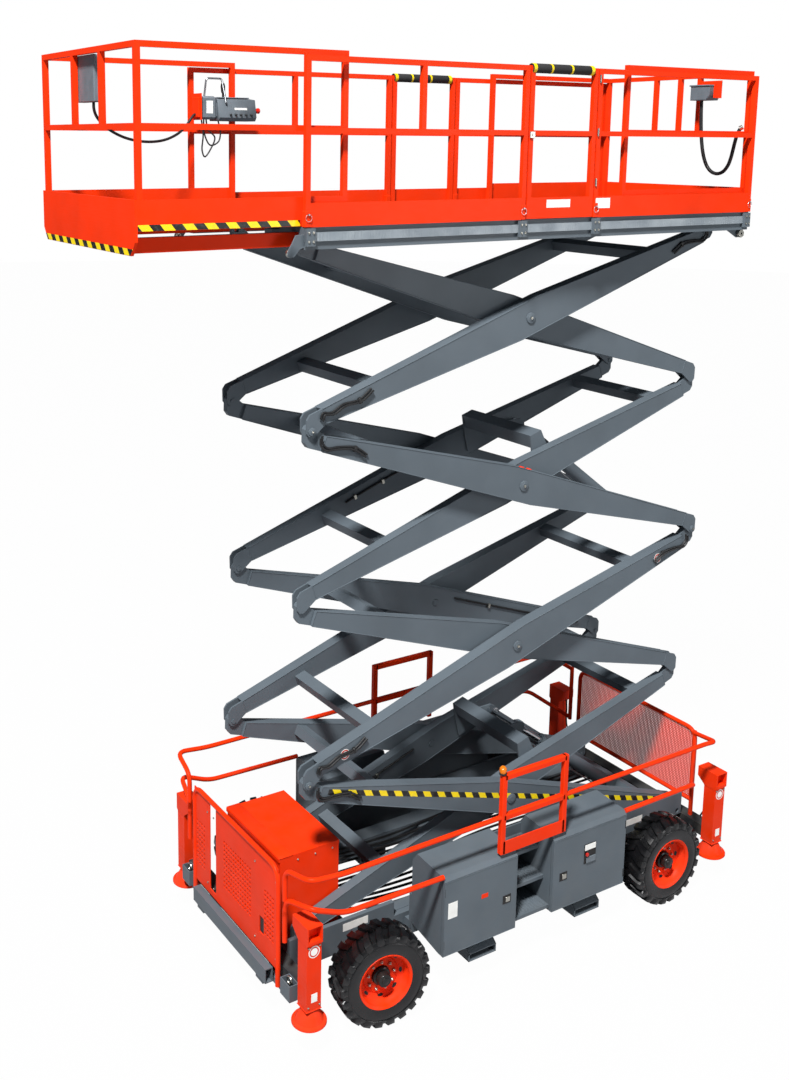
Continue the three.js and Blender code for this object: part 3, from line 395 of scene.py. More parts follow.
def new_material(name):
    """An empty node material with a shader and the place of each point in millimetres."""
    material = bpy.data.materials.new(name)
    material.use_nodes = True
    tree = material.node_tree
    tree.nodes.clear()
    shader = add(tree, "ShaderNodeBsdfPrincipled")
    add(tree, "ShaderNodeOutputMaterial", {"Surface": shader.outputs[0]})
    place = add(tree, "ShaderNodeTexCoord").outputs["Object"]
    in_mm = add(tree, "ShaderNodeVectorMath", {0: place, "Scale": MM}, operation="SCALE").outputs[0]
    return material, tree, shader, in_mm


def noise(tree, place, size_mm, detail=3.0, stretch=(1, 1, 1)):
    """Cloudy noise whose lumps are about size_mm across, stretched along some axes."""
    scaled = add(tree, "ShaderNodeVectorMath", {0: place, 1: stretch}, operation="DIVIDE").outputs[0]
    return add(tree, "ShaderNodeTexNoise",
               {"Vector": scaled, "Scale": 1.0 / size_mm, "Detail": detail}).outputs[0]


def ramp(tree, factor, low, high, from_value, to_value):
    """Maps a factor's range low..high onto from_value..to_value, held at both ends."""
    return add(tree, "ShaderNodeMapRange",
               {0: factor, 1: low, 2: high, 3: from_value, 4: to_value}).outputs[0]


def mixed(tree, factor, a, b):
    """Colour a where the factor is 0, and b where it is 1."""
    node = add(tree, "ShaderNodeMix", {0: factor}, data_type="RGBA")
    for index, colour in ((6, a), (7, b)):
        if isinstance(colour, bpy.types.NodeSocket):
            tree.links.new(colour, node.inputs[index])
        else:
            node.inputs[index].default_value = colour
    return node.outputs[2]


def enamel(name, colour, shade, gloss, coat, dust=0.12, specular=0.16, dust_top_mm=1400.0):
    """Sprayed machine enamel: an even colour with slight cloudiness, fine orange peel under a
    clear gloss, small scuffs, and road dust that thins out with height."""
    material, tree, shader, place = new_material(name)
    clouds = noise(tree, place, 420.0)
    body = mixed(tree, ramp(tree, clouds, 0.35, 0.7, 0.0, 1.0), colour, shade)
    height = add(tree, "ShaderNodeSeparateXYZ", {0: place}).outputs[2]
    low_down = ramp(tree, height, 0.0, dust_top_mm, dust, 0.02)
    grit = ramp(tree, noise(tree, place, 160.0, 2.0), 0.3, 0.8, 0.0, 1.0)
    dusty = add(tree, "ShaderNodeMath", {0: low_down, 1: grit}, operation="MULTIPLY").outputs[0]
    body = mixed(tree, dusty, body, linear("#8d8478"))
    streaks = noise(tree, place, 9.0, 4.0, (14, 14, 1))
    rough = ramp(tree, streaks, 0.3, 0.75, gloss, gloss + 0.16)
    rough = add(tree, "ShaderNodeMath", {0: rough, 1: dusty}, operation="ADD", use_clamp=True).outputs[0]
    peel = noise(tree, place, 3.5, 2.0)
    bump = add(tree, "ShaderNodeBump", {"Height": peel, "Distance": 0.00025, "Strength": 0.35})
    tree.links.new(body, shader.inputs["Base Color"])
    tree.links.new(rough, shader.inputs["Roughness"])
    tree.links.new(bump.outputs[0], shader.inputs["Normal"])
    shader.inputs["Coat Weight"].default_value = coat
    shader.inputs["Coat Roughness"].default_value = 0.12
    shader.inputs["Specular IOR Level"].default_value = specular
    shader.inputs["IOR"].default_value = 1.5
    return material


def tyre_rubber():
    """Moulded natural rubber: near black, matt on the tread and a little shiny on the walls,
    with pale dust in the grooves."""
    material, tree, shader, place = new_material("tyre_rubber")
    dust = ramp(tree, noise(tree, place, 90.0, 4.0), 0.45, 0.8, 0.0, 0.18)
    tree.links.new(mixed(tree, dust, linear("#0c0c0e"), linear("#2c2a27")), shader.inputs["Base Color"])
    tree.links.new(ramp(tree, noise(tree, place, 60.0), 0.3, 0.7, 0.24, 0.42), shader.inputs["Roughness"])
    grain = add(tree, "ShaderNodeBump",
                {"Height": noise(tree, place, 2.5, 3.0), "Distance": 0.0004, "Strength": 0.4})
    tree.links.new(grain.outputs[0], shader.inputs["Normal"])
    shader.inputs["IOR"].default_value = 1.52
    return material


def plain_metal(name, colour, rough_low, rough_high, grain_mm, stretch=(1, 1, 1)):
    """Bare metal: a full mirror whose roughness is broken by grain along the working direction."""
    material, tree, shader, place = new_material(name)
    grain = noise(tree, place, grain_mm, 4.0, stretch)
    body = mixed(tree, ramp(tree, grain, 0.3, 0.7, 0.0, 0.25), linear(colour), linear("#6d6a66"))
    tree.links.new(body, shader.inputs["Base Color"])
    tree.links.new(ramp(tree, grain, 0.3, 0.7, rough_low, rough_high), shader.inputs["Roughness"])
    shader.inputs["Metallic"].default_value = 1.0
    return material


def moulded(name, colour, light, gloss, grain_mm=1.6, ior=1.48):
    """Moulded plastic or rubber: an even colour with a fine pebbled grain that dulls its shine."""
    material, tree, shader, place = new_material(name)
    lumps = noise(tree, place, 70.0)
    body = mixed(tree, ramp(tree, lumps, 0.35, 0.7, 0.0, 1.0), linear(colour), linear(light))
    grain = add(tree, "ShaderNodeBump",
                {"Height": noise(tree, place, grain_mm, 2.0), "Distance": 0.0002, "Strength": 0.5})
    tree.links.new(body, shader.inputs["Base Color"])
    tree.links.new(ramp(tree, lumps, 0.3, 0.7, gloss, gloss + 0.12), shader.inputs["Roughness"])
    tree.links.new(grain.outputs[0], shader.inputs["Normal"])
    shader.inputs["IOR"].default_value = ior
    return material


def warning_stripe(name, along, across):
    """Warning tape: slanting bands, yellow where the fractional part of (along + across) over
    the pitch is under a half, and black elsewhere. along and across are directions in space."""
    material, tree, shader, place = new_material(name)
    slant = add(tree, "ShaderNodeVectorMath", {0: place, 1: tuple(np.add(along, across))},
                operation="DOT_PRODUCT").outputs["Value"]
    pitch_mm = settings().stripe_pitch * MM
    turns = add(tree, "ShaderNodeMath", {0: slant, 1: pitch_mm}, operation="DIVIDE").outputs[0]
    part = add(tree, "ShaderNodeMath", {0: turns}, operation="FRACT").outputs[0]
    band = add(tree, "ShaderNodeMath", {0: part, 1: 0.5}, operation="LESS_THAN").outputs[0]
    scuff = ramp(tree, noise(tree, place, 30.0, 5.0), 0.5, 0.8, 0.0, 0.3)
    body = mixed(tree, band, linear("#141414"), linear("#f2d500"))
    tree.links.new(mixed(tree, scuff, body, linear("#6b6a64")), shader.inputs["Base Color"])
    tree.links.new(ramp(tree, scuff, 0.0, 0.3, 0.35, 0.6), shader.inputs["Roughness"])
    return material


def chequer_plate(name, colour, light):
    """Painted tread plate: low raised bars in two crossing directions, worn bright on top."""
    material, tree, shader, place = new_material(name)
    waves = []
    for turn in (math.pi / 4, -math.pi / 4):
        mapped = add(tree, "ShaderNodeMapping", {"Vector": place, "Rotation": (0, 0, turn)}).outputs[0]
        cells = add(tree, "ShaderNodeTexBrick", {"Vector": mapped, "Scale": 1.0, "Mortar Size": 7.0,
                                                 "Brick Width": 30.0, "Row Height": 18.0}).outputs[1]
        waves.append(cells)
    bars = add(tree, "ShaderNodeMath", {0: waves[0], 1: waves[1]}, operation="MULTIPLY").outputs[0]
    bump = add(tree, "ShaderNodeBump", {"Height": bars, "Distance": 0.002, "Strength": 0.8})
    wear = ramp(tree, noise(tree, place, 240.0, 5.0), 0.4, 0.7, 0.0, 0.6)
    tree.links.new(mixed(tree, wear, linear(colour), linear(light)), shader.inputs["Base Color"])
    tree.links.new(ramp(tree, wear, 0.0, 0.6, 0.55, 0.4), shader.inputs["Roughness"])
    tree.links.new(bump.outputs[0], shader.inputs["Normal"])
    return material


def lens(name, colour):
    """A moulded acrylic lamp cover: strong colour that lets some light through its ribs."""
    material, tree, shader, place = new_material(name)
    ribs = add(tree, "ShaderNodeTexWave", {"Vector": place, "Scale": 0.12}, bands_direction="Z").outputs[1]
    bump = add(tree, "ShaderNodeBump", {"Height": ribs, "Distance": 0.0008, "Strength": 0.6})
    tree.links.new(bump.outputs[0], shader.inputs["Normal"])
    shader.inputs["Base Color"].default_value = linear(colour)
    shader.inputs["Roughness"].default_value = 0.12
    shader.inputs["Transmission Weight"].default_value = 0.35
    shader.inputs["IOR"].default_value = 1.49
    return material


FINISH = {}

# A material slot's finishes. The first is also the one that its construction nodes show.
SLOT_FINISHES = {
    "orange_paint": ("orange", "white", "red", "yellow", "amber", "stripe_side", "stripe_front",
                     "stripe_arm"),
    "grey_paint": ("grey", "silver"),
    "dark_paint": ("dark", "black_paint", "black"),
    "tyre_rubber": ("tyre",),
    "rod_chrome": ("chrome", "steel", "zinc"),
    "box_plastic": ("boxes",),
    "cord_rubber": ("hose", "padding"),
}


def mix_finishes():
    """Makes every finish once, named for the real one."""
    orange = list(settings().orange) + [1.0]
    grey = list(settings().grey) + [1.0]
    paler = [c * 0.86 for c in grey[:3]] + [1.0]
    deeper = [orange[0] * 0.86, orange[1] * 0.9, orange[2], 1.0]
    FINISH.update({
        "orange": enamel("orange_enamel", orange, deeper, 0.30, 0.0, specular=0.07),
        "grey": enamel("grey_enamel", grey, paler, 0.36, 0.05),
        "dark": enamel("dark_chassis_enamel", linear("#2b2f33"), linear("#202326"), 0.45, 0.0, 0.3),
        "black_paint": enamel("black_gloss_enamel", linear("#0c0c0e"), linear("#121214"), 0.25, 0.3, 0.1),
        "silver": chequer_plate("bare_tread_plate", "#7b848b", "#a3abb0"),
        "steel": plain_metal("brushed_steel", "#a9aeb2", 0.3, 0.45, 8.0),
        "stripe_side": warning_stripe("side_warning_tape", (1, 0, 0), (0, 0, -0.8)),
        "stripe_front": warning_stripe("front_warning_tape", (0, 1, 0), (0, 0, 0.8)),
        "stripe_arm": warning_stripe("arm_warning_tape", (math.cos(ARM_ANGLE), 0, math.sin(ARM_ANGLE)),
                                     (0.9 * math.sin(ARM_ANGLE), 0, -0.9 * math.cos(ARM_ANGLE))),
        "tyre": tyre_rubber(),
        "chrome": plain_metal("hard_chrome", "#d9dcdf", 0.06, 0.14, 6.0, (1, 1, 8)),
        "zinc": plain_metal("zinc_plated_steel", "#c4c2b8", 0.25, 0.42, 4.0),
        "black": moulded("black_rubber", "#161617", "#1f1f20", 0.5),
        "hose": moulded("braided_hose_cover", "#131314", "#1b1b1c", 0.42, 2.2),
        "padding": moulded("closed_cell_foam", "#1b1b1c", "#242425", 0.75, 2.6),
        "yellow": moulded("yellow_vinyl", "#f0d000", "#dcbc00", 0.4),
        "red": moulded("red_nylon", "#d42010", "#b81a0e", 0.3),
        "white": moulded("white_vinyl", "#f0f0ec", "#e4e4de", 0.35),
        "boxes": moulded("grey_cast_housing", "#676f76", "#5d656b", 0.42),
        "amber": lens("amber_acrylic", "#ff8a10"),
    })


def paint_nodes():
    """Gives every construction node that still shows its finish."""
    for subpart in frame["record"]["subparts"]:
        mesh = frame["nodes"][subpart["node"]].data
        mesh.materials.clear()
        mesh.materials.append(FINISH[SLOT_FINISHES[subpart["material_slot"]][0]])


# ---------------------------------------------------------------- stage and camera


class LIFT_OT_stage(bpy.types.Operator):
    """Makes the pale floor, the soft lamps and the camera"""
    bl_idname = "lift.stage"
    bl_label = "Stage"

    # the camera stands ahead of the machine's left side, a little under the platform
    place = (5.9062, 7.8761, 6.6679)
    yaw, pitch, roll = 0.5398, 0.1775, 0.0061
    lens, sensor = 40.737, 36.0
    shift = (0.0932, -0.1661)
    floor_radius = 60.0
    floor_glow = 0.985  # share of the floor's own light in what the camera sees of it
    sky_strength = 0.13
    fill_share = 0.032  # the fill lamp's power as a share of the key lamp's

    def camera(self):
        data = bpy.data.cameras.new("camera")
        data.lens, data.sensor_width = self.lens, self.sensor
        data.shift_x, data.shift_y = self.shift
        data.clip_end = 200
        eye = bpy.data.objects.new("camera", data)
        turn = (Matrix.Rotation(math.pi - self.yaw, 4, "Z")
                @ Matrix.Rotation(math.pi / 2 - self.pitch, 4, "X")
                @ Matrix.Rotation(self.roll, 4, "Z"))
        eye.matrix_world = Matrix.Translation(self.place) @ turn
        bpy.context.scene.collection.objects.link(eye)
        bpy.context.scene.camera = eye

    def lamp(self, name, place, target, size, power):
        data = bpy.data.lights.new(name, "AREA")
        data.shape, data.size, data.energy = "DISK", size, power
        made = bpy.data.objects.new(name, data)
        turn = (Vector(target) - Vector(place)).to_track_quat("-Z", "Y").to_matrix().to_4x4()
        made.matrix_world = Matrix.Translation(place) @ turn
        bpy.context.scene.collection.objects.link(made)

    def floor(self):
        ring = circle(self.floor_radius, 96)
        rim = np.column_stack([ring, np.full(len(ring), -0.0005)])
        mesh = bpy.data.meshes.new("floor")
        mesh.from_pydata(rim.tolist(), [], [list(range(len(rim)))])
        sheet = bpy.data.objects.new("floor", mesh)
        bpy.context.scene.collection.objects.link(sheet)
        material = bpy.data.materials.new("pale_floor")
        material.use_nodes = True
        tree = material.node_tree
        tree.nodes.clear()
        matt = add(tree, "ShaderNodeBsdfDiffuse", {"Color": (0.42, 0.42, 0.43, 1)}).outputs[0]
        glow = add(tree, "ShaderNodeEmission", {"Color": (1, 1, 1, 1), "Strength": 1.0}).outputs[0]
        path = add(tree, "ShaderNodeLightPath").outputs
        seen = add(tree, "ShaderNodeMath", {0: path["Is Camera Ray"], 1: self.floor_glow},
                   operation="MULTIPLY").outputs[0]
        shown = add(tree, "ShaderNodeMixShader", {0: seen, 1: matt, 2: glow}).outputs[0]
        add(tree, "ShaderNodeOutputMaterial", {"Surface": shown})
        mesh.materials.append(material)

    def sky(self):
        world = bpy.data.worlds.new("studio")
        bpy.context.scene.world = world
        world.use_nodes = True
        tree = world.node_tree
        tree.nodes.clear()
        path = add(tree, "ShaderNodeLightPath").outputs
        seen = add(tree, "ShaderNodeMath", {0: path["Is Camera Ray"], 1: path["Is Transmission Ray"]},
                   operation="MAXIMUM").outputs[0]
        strength = add(tree, "ShaderNodeMapRange", {0: seen, 3: self.sky_strength, 4: 1.0}).outputs[0]
        tint = mixed(tree, seen, (0.78, 0.88, 1.0, 1.0), (1.0, 1.0, 1.0, 1.0))
        light = add(tree, "ShaderNodeBackground", {"Color": tint, "Strength": strength})
        add(tree, "ShaderNodeOutputWorld", {"Surface": light.outputs[0]})

    def execute(self, context):
        self.camera()
        self.floor()
        self.sky()
        self.lamp("key_lamp", (12.0, 10.0, 26.0), (0, 0, 3), 3.5, settings().key_power)
        self.lamp("fill_lamp", (-8.0, 12.0, 6.0), (0, 0, 3), 6.0, settings().key_power * self.fill_share)
        context.scene.view_settings.view_transform = "Standard"
        return {"FINISHED"}


# ---------------------------------------------------------------- cords

CABLE_DIAMETER, HOSE_DIAMETER = 0.020, 0.030


def control_cable_route():
    """From the foot of the document box to the side of the control box."""
    return above_top([
        (3.260, 0, 0.924), (3.260, 0, 0.885), (3.238, -0.022, 0.840), (3.180, -0.066, 0.788),
        (3.090, -0.130, 0.740), (2.980, -0.208, 0.702), (2.860, -0.292, 0.677), (2.740, -0.376, 0.665),
        (2.620, -0.458, 0.664), (2.510, -0.530, 0.674), (2.410, -0.592, 0.697), (2.320, -0.642, 0.733),
        (2.245, -0.678, 0.785), (2.190, -0.700, 0.842), (2.160, -0.712, 0.868), (2.141, -0.713, 0.872),
    ])


def rear_hose_route():
    """From the foot of the rear box down in a loop and up to its clip on the corner post."""
    return above_top([
        (-2.180, 0.400, 1.0395), (-2.180, 0.401, 1.000), (-2.180, 0.404, 0.930), (-2.181, 0.409, 0.850),
        (-2.182, 0.416, 0.770), (-2.184, 0.426, 0.690), (-2.186, 0.441, 0.612), (-2.189, 0.463, 0.540),
        (-2.192, 0.497, 0.477), (-2.196, 0.545, 0.434), (-2.200, 0.602, 0.420), (-2.204, 0.657, 0.438),
        (-2.208, 0.700, 0.487), (-2.212, 0.724, 0.552), (-2.216, 0.738, 0.622), (-2.221, 0.749, 0.690),
        (-2.228, 0.760, 0.748), (-2.239, 0.774, 0.792), (-2.252, 0.7912, 0.815),
    ])


def above_top(points):
    """Points whose height is given from the line of the top pins."""
    return np.asarray(points, float) + (0, 0, TOP_Z)


class LIFT_OT_cords(bpy.types.Operator):
    """Makes the control cable and the rear hose"""
    bl_idname = "lift.cords"
    bl_label = "Cords"

    def execute(self, context):
        for name, points, steps, body, diameter in (
                ("control_cable", control_cable_route(), 120, "front_extension", CABLE_DIAMETER),
                ("rear_hose", rear_hose_route(), 132, "rear_extension", HOSE_DIAMETER)):
            line = flowing(points, steps)
            piece = put(name + "_cover", pipe(line, diameter / 2, sides=16), "hose", body, [name])
        return {"FINISHED"}


# ---------------------------------------------------------------- wheels


def tyre_shape(side):
    """A ring turned from its section, and two rows of slanting lugs.

    The section's outer half is |y| <= half a width; its walls bulge as a power of the height.
    A lug is a trapezoid carried outwards from the middle, round the shoulder and down the wall,
    turned about the axle by an angle that grows with its distance from the middle.
    """
    radius, bead = 0.388, 0.2105
    floor_radius = radius - settings().lug_height
    rise = np.linspace(0, 1, 15)
    wall_radius = bead + (floor_radius - 0.012 - bead) * rise
    wall_y = 0.110 + 0.021 * np.sin(np.pi * np.clip(rise * 0.93 + 0.07, 0, 1)) ** 0.8
    crown = np.linspace(1, -1, 11)
    tread_y = 0.108 * crown
    tread_radius = floor_radius - 0.010 * crown ** 2
    section = np.concatenate([
        np.stack([wall_radius, wall_y], -1),
        np.stack([tread_radius, tread_y], -1),
        np.stack([wall_radius[::-1], -wall_y[::-1]], -1),
    ])
    carcass = turned(section, (0, 0, 0), (0, 1, 0), 120)
    # bead rings and a raised rib on each wall
    ribs = [turned([(r - 0.004, s * y), (r, s * (y + 0.0035)), (r + 0.004, s * y), (r, s * (y - 0.01))],
                   (0, 0, 0), (0, 1, 0), 96)
            for r, y in ((0.236, 0.1195), (0.318, 0.1290)) for s in (1, -1)]
    count = settings().tread_lugs
    s = np.array([0.0, 0.14, 0.34, 0.56, 0.76, 0.90, 1.0])
    y = np.array([-0.004, 0.025, 0.059, 0.093, 0.1185, 0.1285, 0.1290])
    top = np.array([radius, radius, radius, radius - 0.001, radius - 0.009, radius - 0.036, radius - 0.062])
    foot = np.array([floor_radius - 0.004] * 4 + [floor_radius - 0.024, radius - 0.060, radius - 0.076])
    foot_y = np.array([-0.004, 0.025, 0.059, 0.093, 0.110, 0.121, 0.124])
    lean = np.array([0.115, 0.078, 0.038, 0.010, 0.0, 0.0, 0.0])
    wide = np.array([0.0190, 0.0215, 0.0240, 0.0270, 0.0290, 0.0260, 0.0190]) / radius
    lugs = []
    for row in (1, -1):
        turn = np.arange(count) * 2 * math.pi / count + (0 if row > 0 else math.pi / count)
        angle = turn[:, None, None] + side * (lean[None, :, None] + 0 * s[None, :, None])
        spread = wide[None, :, None] * np.array([-1.45, -1.0, 1.0, 1.45])[None, None]
        r = np.stack([foot, top, top, foot], -1)[None] + 0 * angle
        across = row * np.stack([foot_y, y, y, foot_y], -1)[None] + 0 * angle
        a = angle + spread
        points = np.stack([r * np.cos(a), across, r * np.sin(a)], -1)
        for lug in points:
            lugs.append(net(lug, wrap_columns=True, caps=True))
    return joined([carcass, *ribs, *lugs])


def rim_shape(side):
    """A deep dish turned from one closed section: two rolled lips, a stepped wall and a disc.

    Oval hand holes show as dark plugs let into the disc, painted shade in place of the openings, which the
    hub's piece makes.
    """
    lip = [(0.2095, 0.106), (0.222, 0.114), (0.2270, 0.1205), (0.2235, 0.1255), (0.214, 0.121)]
    face = [(0.2035, 0.112), (0.2015, 0.074), (0.1935, 0.064), (0.1920, 0.034), (0.150, 0.0165),
            (0.142, 0.0245), (0.078, 0.0245), (0.074, 0.019), (0.074, 0.009), (0.140, 0.010),
            (0.148, 0.002), (0.1990, 0.004), (0.2020, -0.112)]
    back = [(r, -y) for r, y in reversed(lip)]
    section = [(r, side * y) for r, y in lip + face + back]
    return turned(section, (0, 0, 0), (0, 1, 0), 96)


def hub_shape(side):
    """A planetary hub: drum, stepped cover and domed plug, turned about the axle."""
    section = [
        (0.0, 0.012), (0.0735, 0.012), (0.0735, 0.046), (0.068, 0.052), (0.056, 0.054), (0.055, 0.098),
        (0.050, 0.106), (0.030, 0.108), (0.028, 0.113), (0.016, 0.117), (0.0, 0.118),
    ]
    return turned([(r, side * y) for r, y in section], (0, 0, 0), (0, 1, 0), 40, closed=False).outward()


def hand_hole_shade_plugs(side, count=8):
    """Dark oval plugs in a ring on the sloping part of the disc: painted shade where the hand holes open into
    the wheel.
    """
    angle = np.arange(count) * 2 * math.pi / count
    rim = circle(1.0, 16) * (0.024, 0.0125)
    shapes = []
    for a in angle:
        out = np.array([math.cos(a), 0, math.sin(a)])
        along = np.array([-math.sin(a), 0, math.cos(a)])
        slope = unit(out * 0.042 + np.array([0, side * 0.0175, 0]))
        face = unit(np.cross(along, slope)) * side
        face = face if face[1] * side > 0 else -face
        middle = out * 0.171 + np.array([0, side * 0.0253, 0])
        flat = rim[:, :1] * along + rim[:, 1:] * slope
        rows = np.array([middle + flat + face * 0.0006, middle + flat - face * 0.003])
        shapes.append(net(rows, wrap_columns=True, caps=True))
    return joined(shapes)


def sign(place, side, radius, ring, height, sides):
    """A blank sign's white disc and the red ring that stands on it, seen from one side."""
    inner, outer = ring
    disc = turned([(0, 0), (radius, 0), (radius, 0.0006), (0, 0.0006)], place, (0, side, 0), sides,
                  closed=False)
    rim = turned([(inner, 0), (outer, 0), (outer, height), (inner, height)], place, (0, side, 0), sides)
    return disc, rim


def nut(radius, height, axis=(0, 1, 0)):
    """A hexagon nut under a domed end, standing on the origin along its axis."""
    flats = [(radius, 0), (radius, 0.75 * height), (radius * 0.8, height)]
    dome = [(radius * 0.5, height * 0.5), (radius * 0.5, 1.35 * height), (radius * 0.35, 1.5 * height)]
    body = turned(flats, (0, 0, 0), axis, 6, closed=False)
    stud = turned(dome, (0, 0, 0), axis, 10, closed=False)
    return joined([body, stud])


class LIFT_OT_wheels(bpy.types.Operator):
    """Makes the treaded tyres, the dished rims, the hubs and their nuts"""
    bl_idname = "lift.wheels"
    bl_label = "Wheels"

    def execute(self, context):
        for end in ENDS:
            for name, side in SIDES:
                joint = f"{end}_{name}_wheel_spin"
                axle = np.array(JOINTS[joint]["axis"], float)
                axle *= np.sign(axle[1])
                # a steered wheel stands turned, so each wheel is made round its own axle
                axes = [np.cross(axle, (0, 0, 1)), axle, (0, 0, 1)]

                def stood(shape):
                    return shape.placed(pin(joint), axes)

                body, label = f"{end}_{name}_wheel", f"{end}_{name}"
                put(f"{label}_treaded_tyre", stood(tyre_shape(side)), "tyre", body, [f"{label}_tyre"],
                    smooth=32)
                put(f"{label}_dished_rim", stood(rim_shape(side)), "orange", body, [f"{label}_rim"])
                # the hub's piece carries the hand holes' dark plugs too: painted shade in place of the
                # openings
                put(f"{label}_hub", stood(joined([hub_shape(side), hand_hole_shade_plugs(side)])), "black_paint", body)
                ring = circle(0.112, 9, 0.2)
                spots = np.column_stack([ring[:, 0], np.full(9, side * 0.0245), ring[:, 1]])
                put(f"{label}_wheel_nuts", stood(nut(0.013, 0.016, (0, side, 0)).repeated(spots)), "zinc",
                    body)
        return {"FINISHED"}


# ---------------------------------------------------------------- guards and rails

TUBE = 0.020
GUARD_X = 2.211
REAR_GUARD_X = -2.236
RAIL_Y = 1.100
GATE_FRAMES = {"left": (-0.262, 0.387), "right": (-0.552, 0.103)}


def holed_sheet(x, y_span, z_span, thickness, hole, pitch=0.040):
    """A sheet across X with a grid of round holes.

    Each cell is a closed ring: its square edge and its round hole meet on both faces. The
    square's points are the circle's, pushed out by one over the larger of |cos a| and |sin a|.
    """
    counts = [max(1, round((high - low) / pitch)) for low, high in (y_span, z_span)]
    steps = [(high - low) / n for (low, high), n in zip((y_span, z_span), counts)]
    ring = circle(1.0, 12, math.pi / 12)
    square = ring / np.abs(ring).max(-1, keepdims=True) * np.array(steps) / 2
    round_ = ring * hole
    half = thickness / 2
    rows = [np.column_stack([np.full(12, at), flat]) for at, flat in
            ((half, square), (half, round_), (-half, round_), (-half, square))]
    cell = net(np.array(rows), wrap_rows=True, wrap_columns=True)
    j, k = np.meshgrid(np.arange(counts[0]) + 0.5, np.arange(counts[1]) + 0.5)
    y, z = y_span[0] + j.ravel() * steps[0], z_span[0] + k.ravel() * steps[1]
    return cell.repeated(np.column_stack([np.full(j.size, x), y, z]))


def column(x, y0, y1, z0, z1, field=None, thickness=0.008):
    """An upright strip of sheet; a field is a stretch of its height that is full of holes."""
    half = thickness / 2
    if field is None:
        return [block((x - half, y0, z0), (x + half, y1, z1))]
    return [block((x - half, y0, z0), (x + half, y1, field[0])),
            holed_sheet(x, (y0, y1), field, thickness, 0.0120),
            block((x - half, y0, field[1]), (x + half, y1, z1))]


def front_guard_shape():
    w, top, foot, x = 0.700, 1.318, 0.345, GUARD_X
    frame = pipe([(x, -w, foot), (x, -w, top), (x, w, top), (x, w, foot)], TUBE, 0.12)
    pieces = [frame]
    pieces += column(x, -w, -0.665, 0.475, top)
    pieces += column(x, -0.665, -0.500, 0.475, top, (0.630, 1.050))
    pieces += column(x, -0.500, -0.418, 0.475, top)
    pieces += column(x, -0.418, -0.310, 0.475, 0.525)
    pieces += column(x, -0.310, -0.180, 0.475, top)
    pieces += column(x, -0.180, 0.290, 0.475, top, (0.670, 1.100))
    pieces += column(x, 0.290, 0.420, 0.475, top)
    pieces += column(x, 0.420, 0.490, 0.475, 0.640) + column(x, 0.420, 0.490, 0.780, top)
    pieces += column(x, 0.490, 0.650, 0.475, top, (0.655, 1.050))
    pieces += column(x, 0.650, w, 0.475, top)
    pieces.append(block((x - 0.026, -w, 0.475), (x - 0.001, w, 0.487)))
    return joined(pieces)


def rear_guard_shape():
    """A tube frame filled with a mesh of thin bars, 17 mm apart, so that it can be seen through."""
    w, top, foot, low, x = 0.750, 1.320, 0.4703, 0.620, REAR_GUARD_X
    frame = pipe([(x, -w, foot), (x, -w, top), (x, w, top), (x, w, foot)], TUBE, 0.11)
    bar = 0.0030
    upright = block((x - bar, -bar, low), (x + bar, bar, top - 0.004))
    level = block((x - bar, -w, -bar), (x + bar, w, bar))
    across = np.arange(-w + 0.024, w - 0.018, 0.017)
    heights = np.arange(low + 0.024, top - 0.018, 0.017)
    mesh_y = upright.repeated([(0, y, 0) for y in across])
    mesh_z = level.repeated([(0, 0, z) for z in heights])
    return joined([frame, rod((x, -w - 0.005, low), (x, w + 0.005, low), TUBE), mesh_y, mesh_z])


def side_rail_shape(name, side):
    y, post, r = side * RAIL_Y, side * 0.800, TUBE
    x = GUARD_X
    pieces = [
        pipe([(x, post, 1.060), (x, post, 1.370), (x - 0.030, y, 1.430), (x - 0.310, y, 1.400),
              (-1.960, y, 1.410), (-2.080, y, 1.400), (-2.165, post, 1.330)], r, 0.09),
        pipe([(x, post, 0.780), (x, post, 1.130), (x - 0.060, y, 1.195), (1.873, y, 1.078),
              (0.9623, y, 1.065)], r, 0.09),
        pipe([(-0.9883, y, 1.050), (-1.830, y, 1.055), (-2.165, post, 0.800)], r, 0.09),
        rod((x, post, 1.000), (x, post, 1.120), r),
        rod((-2.165, post, 1.350), (-2.165, post, 0.780), r),
    ]
    x0, x1 = GATE_FRAMES[name]
    h = 0.023
    for at in (x0, x1):
        pieces.append(block((at - h, y - h, 1.085), (at + h, y + h, 1.768), 0.004))
    for z in (1.745, 1.400):
        pieces.append(block((x0, y - h, z - h), (x1, y + h, z + h), 0.004))
    pieces.append(block((x0, y + side * (h - 0.008), 1.085), (x1, y + side * h, 1.197), 0.001))
    return joined(pieces)


